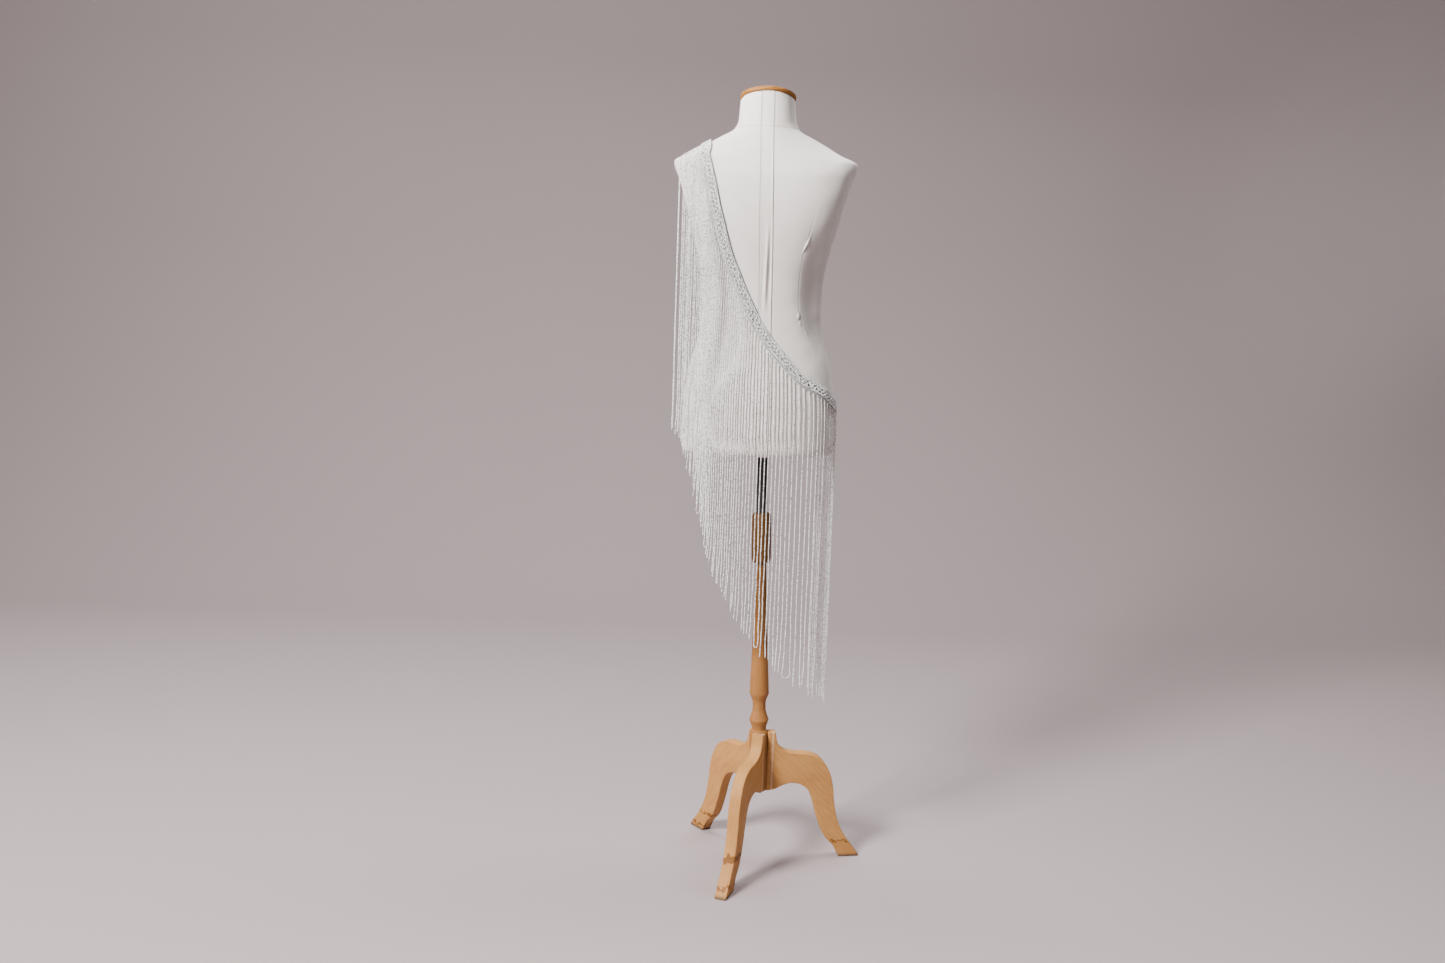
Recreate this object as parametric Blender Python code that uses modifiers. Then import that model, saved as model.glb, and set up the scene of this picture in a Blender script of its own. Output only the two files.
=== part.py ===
"""Beaded fringe trim, a cut length draped over a dress form on its wooden tripod stand.

Metres, +Z up. The form's back faces -Y and its right shoulder, as seen from behind, is at +X.
The trim runs from the left shoulder, down across the back, to the right hip. The stand leans
a little to the left, as an old turned post does, while the bead strands hang plumb.

An azimuth here is a direction seen from above: 0 degrees is the back (-Y), 90 is the right (+X),
-90 the left and 180 the front.
"""
import math
import random
from typing import NamedTuple

import bmesh
import bpy
import numpy as np
from mathutils import Matrix, Vector

COLLECTION = "beaded_fringe_trim_on_dress_form"
CUTTERS = "cutters"
GAP = 0.0003

# The stand
POLE_FOOT = (0.0003, 0.0166)
STAND_LEAN = math.radians(1.4)
LEG_AZIMUTHS = {"leg_right": 99.1, "leg_front_left": -20.9, "leg_back_left": -140.9}
LEG_THICKNESS = 0.026
HUB_RADIUS = 0.0205
HUB_BOTTOM = 0.159
HUB_TOP = 0.2955
POST_TOP = 0.6765
COLLAR_RADIUS = 0.0212
COLLAR_TOP = 0.7860
COLLAR_ROUNDING = 0.012
ROD_RADIUS = 0.0119
ROD_TOP = 0.9165
TURNED_STEPS = 20

# The form
FORM_LEAN = math.radians(0.36)
FORM_FOOT_OFFSET = -0.012
FORM_GAP = 0.0005
FORM_SIDES = 44
NECK_TILT = math.radians(11)
NECK_BASE = 0.6850
CAP_RADIUS = 0.0588
CAP_THICKNESS = 0.0090
CAP_ROUNDING = 0.0025

# The trim
TRIM_LENGTH = 0.914
STRAND_PITCH = 0.0112
STRAND_LENGTH = 0.628
STRAND_LENGTH_SPREAD = 0.007
STRAND_THICKNESS = 0.0026
STRAND_LAYER = 0.0034
STRAND_CLEARANCE = 0.0012
BAND_WIDTH = 0.0205
BAND_THICKNESS = 0.0032
BAND_CROWN = 0.0014
BAND_SCALLOP = 0.0007
BAND_LIFT = 0.0014
BACKING_WIDTH = 0.0026
BACKING_THICKNESS = 0.0026
ROOT_BEND = 0.0022
SIMPLIFY = 0.0007
DOWN = np.array((0.0, 0.0, -1.0))


class FormRow(NamedTuple):
    """One level ring of the form: its height, half sizes and how square it is (2 is an ellipse)."""
    height: float
    half_width: float
    back: float
    front: float
    squareness: float


class TrimRow(NamedTuple):
    """A place on the form that the trim crosses, and the azimuth that the strands there fall towards."""
    azimuth: float
    height: float
    fall: float


class TurnRow(NamedTuple):
    """One ring of a turned piece."""
    radius: float
    height: float


class OutlineRow(NamedTuple):
    """One point of a leg board's outline; a corner is sharp and any other point is smooth."""
    reach: float
    height: float
    corner: bool


FORM = [
    FormRow(0.000, 0.1530, 0.101, 0.090, 2.30),
    FormRow(0.005, 0.1610, 0.109, 0.097, 2.30),
    FormRow(0.018, 0.1650, 0.114, 0.101, 2.30),
    FormRow(0.050, 0.1650, 0.117, 0.103, 2.30),
    FormRow(0.110, 0.1630, 0.115, 0.104, 2.30),
    FormRow(0.159, 0.1560, 0.108, 0.101, 2.25),
    FormRow(0.202, 0.1475, 0.099, 0.098, 2.20),
    FormRow(0.266, 0.1320, 0.088, 0.093, 2.15),
    FormRow(0.320, 0.1290, 0.083, 0.092, 2.15),
    FormRow(0.360, 0.1300, 0.084, 0.097, 2.20),
    FormRow(0.433, 0.1425, 0.093, 0.121, 2.40),
    FormRow(0.468, 0.1515, 0.098, 0.130, 2.55),
    FormRow(0.512, 0.1635, 0.101, 0.121, 2.75),
    FormRow(0.577, 0.1830, 0.094, 0.094, 2.60),
    FormRow(0.612, 0.1940, 0.079, 0.072, 2.30),
    FormRow(0.631, 0.1600, 0.073, 0.063, 1.95),
    FormRow(0.644, 0.1370, 0.069, 0.058, 1.75),
    FormRow(0.665, 0.0980, 0.063, 0.051, 1.80),
    FormRow(0.680, 0.0711, 0.058, 0.050, 1.95),
    FormRow(0.699, 0.0613, 0.0565, 0.0545, 2.00),
    FormRow(0.742, 0.0574, 0.0555, 0.0545, 2.00),
]
FORM_RING_HEIGHTS = [0.0, 0.005, 0.018, 0.05, 0.08, 0.11, 0.135, 0.159, 0.181, 0.202, 0.234, 0.266,
                     0.293, 0.32, 0.36, 0.397, 0.433, 0.468, 0.49, 0.512, 0.545, 0.577, 0.597, 0.612,
                     0.6195, 0.631, 0.644, 0.655, 0.665, 0.6725, 0.68, 0.6885, 0.699, 0.72, 0.742]

TRIM = [
    TrimRow(-127.0, 0.552, -134.0),
    TrimRow(-116.0, 0.612, -128.0),
    TrimRow(-104.0, 0.639, -122.0),
    TrimRow(-96.0, 0.6475, -118.0),
    TrimRow(-94.0, 0.6490, -45.0),
    TrimRow(-86.0, 0.6490, -42.0),
    TrimRow(-75.0, 0.639, -38.0),
    TrimRow(-65.0, 0.618, -31.0),
    TrimRow(-54.9, 0.5748, -24.0),
    TrimRow(-47.6, 0.5008, -16.0),
    TrimRow(-43.1, 0.4240, -12.0),
    TrimRow(-33.8, 0.3657, -8.0),
    TrimRow(-11.0, 0.2871, -3.0),
    TrimRow(8.3, 0.2422, 2.0),
    TrimRow(28.1, 0.1972, 10.0),
    TrimRow(44.0, 0.1607, 24.0),
    TrimRow(61.6, 0.1371, 46.0),
    TrimRow(75.4, 0.1114, 68.0),
    TrimRow(92.0, 0.0940, 90.0),
    TrimRow(112.0, 0.0880, 112.0),
    TrimRow(132.0, 0.0900, 132.0),
]

POST = [
    TurnRow(0.0000, POST_TOP),
    TurnRow(0.0100, POST_TOP),
    TurnRow(0.0112, 0.6740),
    TurnRow(0.0138, 0.5917),
    TurnRow(0.0177, 0.4766),
    TurnRow(0.0212, 0.3900),
    TurnRow(0.0216, 0.3810),
    TurnRow(0.0189, 0.3741),
    TurnRow(0.0160, 0.3670),
    TurnRow(0.0147, 0.3600),
    TurnRow(0.0147, 0.3443),
    TurnRow(0.0170, 0.3350),
    TurnRow(0.0208, 0.3285),
    TurnRow(0.0217, 0.3213),
    TurnRow(0.0208, 0.3150),
    TurnRow(0.0196, 0.3118),
    TurnRow(0.0170, 0.3085),
    TurnRow(0.0154, 0.3029),
    TurnRow(0.0158, 0.2985),
    TurnRow(HUB_RADIUS - 0.0015, HUB_TOP),
    TurnRow(HUB_RADIUS, HUB_TOP - 0.0040),
    TurnRow(HUB_RADIUS, HUB_BOTTOM + 0.0025),
    TurnRow(HUB_RADIUS - 0.0025, HUB_BOTTOM),
    TurnRow(0.0000, HUB_BOTTOM),
]

LEG = [
    OutlineRow(0.0120, 0.2940, True),
    OutlineRow(0.0290, 0.2940, True),
    OutlineRow(0.0367, 0.2654, False),
    OutlineRow(0.0473, 0.2536, False),
    OutlineRow(0.0774, 0.2451, False),
    OutlineRow(0.1028, 0.2431, False),
    OutlineRow(0.1310, 0.2332, False),
    OutlineRow(0.1530, 0.2070, False),
    OutlineRow(0.1651, 0.1714, False),
    OutlineRow(0.1706, 0.1289, False),
    OutlineRow(0.1803, 0.0859, False),
    OutlineRow(0.1951, 0.0546, False),
    OutlineRow(0.2315, 0.0040, True),
    OutlineRow(0.2325, 0.0000, True),
    OutlineRow(0.1862, 0.0000, True),
    OutlineRow(0.1727, 0.0245, False),
    OutlineRow(0.1510, 0.0490, False),
    OutlineRow(0.1340, 0.0895, False),
    OutlineRow(0.1202, 0.1345, False),
    OutlineRow(0.1104, 0.1558, False),
    OutlineRow(0.0979, 0.1680, False),
    OutlineRow(0.0712, 0.1758, False),
    OutlineRow(0.0507, 0.1716, False),
    OutlineRow(0.0290, 0.1620, False),
    OutlineRow(0.0120, 0.1600, True),
]

STAND_FRAME = (Matrix.Translation((*POLE_FOOT, 0.0))
               @ Matrix.Rotation(-STAND_LEAN, 4, "Y"))
FORM_FRAME = (STAND_FRAME
              @ Matrix.Translation((0.0, 0.0, ROD_TOP + FORM_GAP))
              @ Matrix.Rotation(STAND_LEAN - FORM_LEAN, 4, "Y")
              @ Matrix.Translation((FORM_FOOT_OFFSET, 0.0, 0.0)))


def clear_scene():
    """Empty the file of objects."""
    for obj in list(bpy.data.objects):
        bpy.data.objects.remove(obj, do_unlink=True)


def new_collection(name):
    """Add a collection to the scene."""
    collection = bpy.data.collections.new(name)
    bpy.context.scene.collection.children.link(collection)
    return collection


def new_material(name, colour, roughness, metallic=0.0):
    """Make a Principled material in one colour."""
    material = bpy.data.materials.new(name)
    material.use_nodes = True
    shader = material.node_tree.nodes["Principled BSDF"]
    shader.inputs["Base Color"].default_value = (*colour, 1.0)
    shader.inputs["Roughness"].default_value = roughness
    shader.inputs["Metallic"].default_value = metallic
    return material


def add_object(name, data, collection, material, frame=None):
    """Put a mesh or curve into a collection, with its material and place."""
    obj = bpy.data.objects.new(name, data)
    collection.objects.link(obj)
    if material is not None:
        data.materials.append(material)
    if frame is not None:
        obj.matrix_world = frame
    return obj


def mesh_from(name, bm):
    """Turn a bmesh into a mesh whose faces point out."""
    bmesh.ops.recalc_face_normals(bm, faces=bm.faces)
    mesh = bpy.data.meshes.new(name)
    bm.to_mesh(mesh)
    bm.free()
    return mesh


def shade_round(mesh, angle=40):
    """Shade a mesh smooth except at its sharp edges."""
    mesh.shade_smooth()
    mesh.set_sharp_from_angle(angle=math.radians(angle))


def smooth_columns(rows, places):
    """Read every column of a table at new places in its first column, without overshoot."""
    table = np.array(rows, dtype=float)
    x = table[:, 0]
    steps = np.diff(x)[:, None]
    slopes = np.diff(table, axis=0) / steps
    tangents = np.zeros_like(table)
    same_way = slopes[:-1] * slopes[1:] > 0
    mean = np.where(same_way, slopes[:-1] + slopes[1:], 1.0)
    tangents[1:-1] = np.where(same_way, 2 * slopes[:-1] * slopes[1:] / mean, 0.0)
    tangents[0] = slopes[0]
    tangents[-1] = slopes[-1]
    places = np.asarray(places, dtype=float)
    span = np.clip(np.searchsorted(x, places, side="right") - 1, 0, len(x) - 2)
    width = steps[span]
    t = ((places - x[span]) / steps[span, 0])[:, None]
    start = (1 + 2 * t) * (1 - t) ** 2 * table[span] + t * (1 - t) ** 2 * width * tangents[span]
    end = t ** 2 * (3 - 2 * t) * table[span + 1] + t ** 2 * (t - 1) * width * tangents[span + 1]
    return start + end


FORM_FINE = smooth_columns(FORM, np.linspace(FORM[0].height, FORM[-1].height, 743))


def form_row(height):
    """The form's ring sizes at a height or an array of heights."""
    return [np.interp(height, FORM_FINE[:, 0], FORM_FINE[:, column]) for column in range(1, 5)]


def form_field(points):
    """How far points in the form's frame lie outside it: below 0 inside, 0 on it, above 0 outside."""
    x, y, z = points[..., 0], points[..., 1], points[..., 2]
    half_width, back, front, square = form_row(z)
    depth = np.where(y < 0, back, front)
    return (np.abs(x / half_width) ** square + np.abs(y / depth) ** square) ** (1 / square) - 1


def form_gradient(points, step=0.0004):
    """The field's slope at points, which points straight out of the form."""
    slopes = [form_field(points + shift) - form_field(points - shift) for shift in np.eye(3) * step]
    return np.stack(slopes, axis=-1) / (2 * step)


def form_distance(points):
    """About how far points near the form lie off its surface."""
    return form_field(points) / np.linalg.norm(form_gradient(points), axis=-1)


def settle(point, lift):
    """Move a point on to the form's surface and then off it by a lift."""
    point = np.array(point, dtype=float)
    for _ in range(5):
        slope = form_gradient(point)
        point -= form_field(point) * slope / slope.dot(slope)
    slope = form_gradient(point)
    return point + slope / np.linalg.norm(slope) * lift


def surface_point(azimuth, height):
    """The point of the form's surface in a direction at a height."""
    half_width, back, front, square = form_row(height)
    across, along = math.sin(math.radians(azimuth)), -math.cos(math.radians(azimuth))
    depth = back if along < 0 else front
    radius = (abs(across / half_width) ** square + abs(along / depth) ** square) ** (-1 / square)
    return np.array((across * radius, along * radius, height))


class TrimPath:
    """The line that the heading follows over the form, read by the length along it."""

    def __init__(self, rows, samples=500):
        """Trace the rows over the form and keep the middle TRIM_LENGTH of the line."""
        numbered = [(index, *row) for index, row in enumerate(rows)]
        traced = smooth_columns(numbered, np.linspace(0, len(rows) - 1, samples))
        self.points = np.array([surface_point(row[1], row[2]) for row in traced])
        self.falls = traced[:, 3]
        steps = np.linalg.norm(np.diff(self.points, axis=0), axis=1)
        self.lengths = np.concatenate(([0.0], np.cumsum(steps)))
        self.start = (self.lengths[-1] - TRIM_LENGTH) / 2

    def point(self, length):
        """The point of the line at a length from the trim's start."""
        where = self.start + length
        return np.array([np.interp(where, self.lengths, self.points[:, axis]) for axis in range(3)])

    def frame(self, length):
        """The point, the direction along the line, straight out, and towards the strands."""
        along = self.point(length + 0.004) - self.point(length - 0.004)
        along /= np.linalg.norm(along)
        point = settle(self.point(length), 0.0)
        out = form_gradient(point)
        out /= np.linalg.norm(out)
        strand_side = np.cross(along, out)
        strand_side /= np.linalg.norm(strand_side)
        return point, along, out, strand_side

    def fall(self, length):
        """The level direction that a strand falls towards."""
        azimuth = math.radians(np.interp(self.start + length, self.lengths, self.falls))
        return np.array((math.sin(azimuth), -math.cos(azimuth), 0.0))


def to_world(points, frame):
    """Carry points from a frame into the world."""
    matrix = np.array(frame)
    return points @ matrix[:3, :3].T + matrix[:3, 3]


def loft(bm, sections):
    """Join a row of like closed sections into a skin with a face at each end."""
    rings = [[bm.verts.new(point) for point in section] for section in sections]
    for lower, upper in zip(rings, rings[1:]):
        for index in range(len(lower)):
            after = (index + 1) % len(lower)
            bm.faces.new((lower[index], lower[after], upper[after], upper[index]))
    bm.faces.new(reversed(rings[0]))
    bm.faces.new(rings[-1])
    return rings


def form_ring(height):
    """The points of one ring of the form, which tips forward along the neck."""
    half_width, back, front, square = form_row(height)
    neck = max(0.0, (height - NECK_BASE) / (FORM[-1].height - NECK_BASE))
    tip = math.tan(NECK_TILT) * neck
    ring = []
    for index in range(FORM_SIDES):
        angle = 2 * math.pi * index / FORM_SIDES
        across, along = math.sin(angle), -math.cos(angle)
        depth = back if along < 0 else front
        x = half_width * math.copysign(abs(across) ** (2 / square), across)
        y = depth * math.copysign(abs(along) ** (2 / square), along)
        ring.append(Vector((x, y, height - y * tip)))
    return ring


def build_form(parts, cloth):
    """The padded body, cut off flat below the hips, with its shoulders and neck."""
    bm = bmesh.new()
    loft(bm, [form_ring(height) for height in FORM_RING_HEIGHTS])
    mesh = mesh_from("form_body", bm)
    shade_round(mesh, 50)
    return add_object("form_body", mesh, parts, cloth, FORM_FRAME)


def turned(name, rows, parts, material, frame, closed=False):
    """Turn a profile about +Z with a Screw modifier."""
    bm = bmesh.new()
    verts = [bm.verts.new((row.radius, 0.0, row.height)) for row in rows]
    for first, second in zip(verts, verts[1:]):
        bm.edges.new((first, second))
    if closed:
        bm.edges.new((verts[-1], verts[0]))
    mesh = bpy.data.meshes.new(name)
    bm.to_mesh(mesh)
    bm.free()
    obj = add_object(name, mesh, parts, material, frame)
    screw = obj.modifiers.new("turn", "SCREW")
    screw.steps = TURNED_STEPS
    screw.render_steps = TURNED_STEPS
    screw.use_merge_vertices = True
    screw.merge_threshold = 0.00001
    screw.use_smooth_shade = True
    return obj


def build_neck_cap(parts, wood):
    """The round wooden plate that closes the neck, tipped forward with it."""
    radius, rounding = CAP_RADIUS, CAP_ROUNDING
    rows = [
        TurnRow(0.0, CAP_THICKNESS + 0.0015),
        TurnRow(radius * 0.6, CAP_THICKNESS + 0.0008),
        TurnRow(radius - rounding, CAP_THICKNESS),
        TurnRow(radius - rounding * 0.3, CAP_THICKNESS - rounding * 0.3),
        TurnRow(radius, CAP_THICKNESS - rounding),
        TurnRow(radius, rounding),
        TurnRow(radius - rounding * 0.3, rounding * 0.3),
        TurnRow(radius - rounding, 0.0),
        TurnRow(0.0, 0.0),
    ]
    seat = Matrix.Translation((0.0, 0.0, FORM[-1].height + GAP)) @ Matrix.Rotation(-NECK_TILT, 4, "X")
    return turned("neck_cap", rows, parts, wood, FORM_FRAME @ seat)


def build_post(parts, wood):
    """The turned post, whose plain lower end is the hub that the legs are fixed to."""
    return turned("stand_post", POST, parts, wood, STAND_FRAME)


def build_collar(parts, wood):
    """The thick wooden sleeve at the top of the post, bored for the rod."""
    bottom = POST_TOP + GAP
    bore = ROD_RADIUS + GAP
    rows = [TurnRow(bore, COLLAR_TOP), TurnRow(COLLAR_RADIUS - COLLAR_ROUNDING * 0.55, COLLAR_TOP)]
    for degrees in (55, 30, 0):
        turn = math.radians(degrees)
        shoulder = COLLAR_RADIUS - COLLAR_ROUNDING * 0.45 * (1 - math.cos(turn))
        rows.append(TurnRow(shoulder, COLLAR_TOP - COLLAR_ROUNDING * (1 - math.sin(turn))))
    for degrees in (0, 30, 55):
        turn = math.radians(degrees)
        shoulder = COLLAR_RADIUS - COLLAR_ROUNDING * 0.45 * (1 - math.cos(turn))
        rows.append(TurnRow(shoulder, bottom + COLLAR_ROUNDING * (1 - math.sin(turn))))
    rows.append(TurnRow(COLLAR_RADIUS - COLLAR_ROUNDING * 0.55, bottom))
    rows.append(TurnRow(bore, bottom))
    return turned("stand_collar", rows, parts, wood, STAND_FRAME, closed=True)


def build_rod(parts, metal):
    """The black rod that carries the form, down its sleeve to the top of the post."""
    bottom = POST_TOP + GAP
    bm = bmesh.new()
    bmesh.ops.create_cone(bm, cap_ends=True, segments=TURNED_STEPS, radius1=ROD_RADIUS, radius2=ROD_RADIUS,
                          depth=ROD_TOP - bottom)
    bmesh.ops.translate(bm, verts=bm.verts, vec=(0.0, 0.0, (ROD_TOP + bottom) / 2))
    mesh = mesh_from("stand_rod", bm)
    shade_round(mesh)
    return add_object("stand_rod", mesh, parts, metal, STAND_FRAME)


def leg_board():
    """One leg's board: its outline as a curve, made a welded mesh, on edge along +X."""
    curve = bpy.data.curves.new("leg_outline", "CURVE")
    curve.dimensions = "2D"
    curve.fill_mode = "BOTH"
    curve.extrude = LEG_THICKNESS / 2
    curve.resolution_u = 2
    spline = curve.splines.new("BEZIER")
    spline.bezier_points.add(len(LEG) - 1)
    for point, row in zip(spline.bezier_points, LEG):
        point.co = (row.reach, row.height, 0.0)
        point.handle_left_type = "VECTOR" if row.corner else "AUTO"
        point.handle_right_type = "VECTOR" if row.corner else "AUTO"
    spline.use_cyclic_u = True
    outline = bpy.data.objects.new("leg_outline", curve)
    bpy.context.scene.collection.objects.link(outline)
    bpy.context.view_layer.update()
    evaluated = outline.evaluated_get(bpy.context.evaluated_depsgraph_get())
    mesh = bpy.data.meshes.new_from_object(evaluated)
    bpy.data.objects.remove(outline, do_unlink=True)
    bm = bmesh.new()
    bm.from_mesh(mesh)
    bmesh.ops.remove_doubles(bm, verts=bm.verts, dist=0.00002)
    bmesh.ops.transform(bm, matrix=Matrix.Rotation(math.radians(90), 4, "X"), verts=bm.verts)
    bpy.data.meshes.remove(mesh)
    return mesh_from("leg_board", bm)


def build_legs(parts, cutters, wood):
    """Three boards on edge, each hollowed at its inner end to sit against the hub."""
    bm = bmesh.new()
    bmesh.ops.create_cone(bm, cap_ends=True, segments=40, radius1=HUB_RADIUS + GAP, radius2=HUB_RADIUS + GAP,
                          depth=HUB_TOP)
    bmesh.ops.translate(bm, verts=bm.verts, vec=(0.0, 0.0, HUB_TOP * 0.8))
    cutter = add_object("hub_cutter", mesh_from("hub_cutter", bm), cutters, None, STAND_FRAME)
    cutter.hide_render = True
    cutter.display_type = "WIRE"
    board = leg_board()
    for name, azimuth in LEG_AZIMUTHS.items():
        turn = Matrix.Rotation(math.radians(azimuth - 90), 4, "Z")
        leg = add_object(name, board.copy(), parts, wood, Matrix.Translation((*POLE_FOOT, 0.0)) @ turn)
        cut = leg.modifiers.new("hub seat", "BOOLEAN")
        cut.operation = "DIFFERENCE"
        cut.object = cutter
    bpy.data.meshes.remove(board)


def band_section(path, length, lobe):
    """One section across the heading: flat below, crowned above, its width scalloped along the way."""
    point, _, _, strand_side = path.frame(length)
    half = BAND_WIDTH / 2 + BAND_SCALLOP * lobe
    top = BAND_LIFT + BAND_THICKNESS
    crown = top + BAND_CROWN * (0.5 + 0.5 * lobe)
    spots = [(-half, BAND_LIFT), (0.0, BAND_LIFT), (half, BAND_LIFT), (half, top),
             (half * 0.45, crown), (0.0, top + BAND_CROWN * (0.5 - 0.5 * lobe)),
             (-half * 0.45, crown), (-half, top)]
    return [settle(point + strand_side * across, lift) for across, lift in spots]


def build_heading_band(path, parts, braid):
    """The braided, beaded heading, laid over the form with a lobe for every strand."""
    stations = round(TRIM_LENGTH / STRAND_PITCH) * 2
    bm = bmesh.new()
    sections = []
    for index in range(stations + 1):
        lobe = 1.0 if index % 2 else -1.0
        sections.append(band_section(path, TRIM_LENGTH * index / stations, lobe))
    loft(bm, sections)
    mesh = mesh_from("heading_band", bm)
    shade_round(mesh, 60)
    return add_object("heading_band", mesh, parts, braid, FORM_FRAME)


def backing_section(path, length):
    """One section of the narrow strip that the strands are sewn to, beside the heading's lower edge."""
    point, _, _, strand_side = path.frame(length)
    near = BAND_WIDTH / 2 + BAND_SCALLOP + GAP
    far = near + BACKING_WIDTH
    top = BAND_LIFT + BACKING_THICKNESS
    spots = [(near, BAND_LIFT), (far, BAND_LIFT), (far, top), (near, top)]
    return [settle(point + strand_side * across, lift) for across, lift in spots]


def outward_reach(start, fall, depths, clearance):
    """How far out a strand must pass to clear the form, at each depth below the strand's root."""
    trials = np.linspace(-0.10, 0.22, 321)
    points = start + fall * trials[None, :, None] + DOWN * depths[:, None, None]
    local = to_world(points, FORM_FRAME.inverted())
    room = form_distance(local) - clearance
    room[(local[..., 2] < FORM[0].height - clearance) | (local[..., 2] > FORM[-1].height)] = 1.0
    inside = room <= 0
    reach = np.full(len(depths), -1.0)
    for row in np.flatnonzero(inside.any(axis=1)):
        last = np.flatnonzero(inside[row])[-1]
        rise = room[row, last + 1] - room[row, last]
        reach[row] = trials[last] - room[row, last] / rise * (trials[1] - trials[0])
    return reach


def taut_profile(depths, reach):
    """The tight line from the root over the form's bulges, then plumb from the furthest one."""
    profile = np.zeros(len(depths))
    here = 0
    while here < len(depths) - 1:
        slopes = (reach[here + 1:] - profile[here]) / (depths[here + 1:] - depths[here])
        best = int(np.argmax(slopes))
        if slopes[best] <= 0:
            profile[here + 1:] = profile[here]
            break
        there = here + 1 + best
        run = np.arange(here + 1, there + 1)
        profile[run] = profile[here] + slopes[best] * (depths[run] - depths[here])
        here = there
    return profile


def simplify(points, tolerance):
    """Drop the points that lie within a tolerance of the straight line between those kept."""
    if len(points) < 3:
        return list(points)
    first, last = points[0], points[-1]
    chord = (last - first) / np.linalg.norm(last - first)
    offsets = points[1:-1] - first
    away = np.linalg.norm(offsets - np.outer(offsets @ chord, chord), axis=1)
    worst = int(np.argmax(away)) + 1
    if away[worst - 1] <= tolerance:
        return [first, last]
    return simplify(points[:worst + 1], tolerance)[:-1] + simplify(points[worst:], tolerance)


def cut_to_length(points, length):
    """Cut a line of points off at a length."""
    kept = [points[0]]
    left = length
    for first, second in zip(points, points[1:]):
        step = np.linalg.norm(second - first)
        if step >= left:
            kept.append(first + (second - first) * left / step)
            return np.array(kept)
        kept.append(second)
        left -= step
    return np.array(kept)


def strand_line(root, fall, length, layer):
    """The line that one strand follows: over the form from its root, then plumb."""
    depths = np.concatenate((np.arange(0.0, 0.08, 0.002), np.arange(0.08, length + 0.06, 0.01)))
    clearance = STRAND_THICKNESS * 0.75 + STRAND_CLEARANCE + STRAND_LAYER * layer
    profile = taut_profile(depths, outward_reach(root, fall, depths, clearance))
    points = root + fall * profile[:, None] + DOWN * depths[:, None]
    return simplify(cut_to_length(points, length), SIMPLIFY)


def grow_strand(bm, face, centre_line, out, along, fall):
    """Extrude one root face of the backing down a strand's line, four-sided all the way."""
    centre = sum((vert.co for vert in face.verts), Vector()) / 4
    sides = []
    for loop in face.loops:
        offset = loop.vert.co - centre
        sides.append((math.copysign(1, offset.dot(along)), math.copysign(1, offset.dot(out))))
    half = STRAND_THICKNESS / 2
    count = len(centre_line)
    for index in range(1, count):
        before = centre_line[index] - centre_line[index - 1]
        after = centre_line[min(index + 1, count - 1)] - centre_line[index]
        heading = before / np.linalg.norm(before)
        if index < count - 1:
            heading = heading + after / np.linalg.norm(after)
        heading = Vector(heading).normalized()
        across = Vector(fall).cross(heading).normalized()
        outward = heading.cross(across).normalized()
        face = bmesh.ops.extrude_discrete_faces(bm, faces=[face])["faces"][0]
        for loop, (side, lift) in zip(face.loops, sides):
            loop.vert.co = Vector(centre_line[index]) + across * (side * half) + outward * (lift * half)


def build_bead_fringe(path, parts, beads):
    """The narrow backing strip with every bead strand grown from its outer edge."""
    chance = random.Random(11)
    count = round(TRIM_LENGTH / STRAND_PITCH)
    half = STRAND_THICKNESS / 2
    middles = [STRAND_PITCH * (index + 0.5) for index in range(count)]
    lengths = [0.001]
    for middle in middles:
        lengths += [middle - half, middle + half]
    lengths.append(TRIM_LENGTH - 0.001)
    sections = [to_world(np.array(backing_section(path, length)), FORM_FRAME) for length in lengths]
    bm = bmesh.new()
    rings = loft(bm, sections)
    bm.normal_update()
    roots = []
    for index in range(count):
        first, second = rings[1 + 2 * index], rings[2 + 2 * index]
        corners = {first[1], first[2], second[1], second[2]}
        roots.append(next(face for face in first[1].link_faces if set(face.verts) == corners))
    turn = np.array(FORM_FRAME)[:3, :3]
    for index, (middle, face) in enumerate(zip(middles, roots)):
        _, along, out, strand_side = (turn @ vector for vector in path.frame(middle))
        root = np.array(sum((vert.co for vert in face.verts), Vector()) / 4)
        bend = root + strand_side * ROOT_BEND + DOWN * ROOT_BEND / 2
        length = STRAND_LENGTH + chance.uniform(-1, 1) * STRAND_LENGTH_SPREAD
        fall = path.fall(middle)
        line = strand_line(bend, fall, length, index % 2)
        grow_strand(bm, face, [root, *line], Vector(out), Vector(along), fall)
    mesh = mesh_from("bead_fringe", bm)
    shade_round(mesh, 60)
    return add_object("bead_fringe", mesh, parts, beads)


def main():
    """Build the form, its stand and the trim on it."""
    clear_scene()
    parts = new_collection(COLLECTION)
    cutters = new_collection(CUTTERS)
    cloth = new_material("form_cloth", (0.78, 0.76, 0.71), 0.9)
    cap_wood = new_material("cap_wood", (0.60, 0.42, 0.26), 0.45)
    stand_wood = new_material("stand_wood", (0.55, 0.36, 0.20), 0.45)
    metal = new_material("rod_metal", (0.02, 0.02, 0.02), 0.4, 0.8)
    braid = new_material("heading_beads", (0.74, 0.74, 0.72), 0.35, 0.3)
    beads = new_material("strand_beads", (0.80, 0.80, 0.79), 0.25, 0.2)
    build_form(parts, cloth)
    build_neck_cap(parts, cap_wood)
    build_post(parts, stand_wood)
    build_collar(parts, stand_wood)
    build_rod(parts, metal)
    build_legs(parts, cutters, stand_wood)
    path = TrimPath(TRIM)
    build_heading_band(path, parts, braid)
    build_bead_fringe(path, parts, beads)


main()
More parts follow.
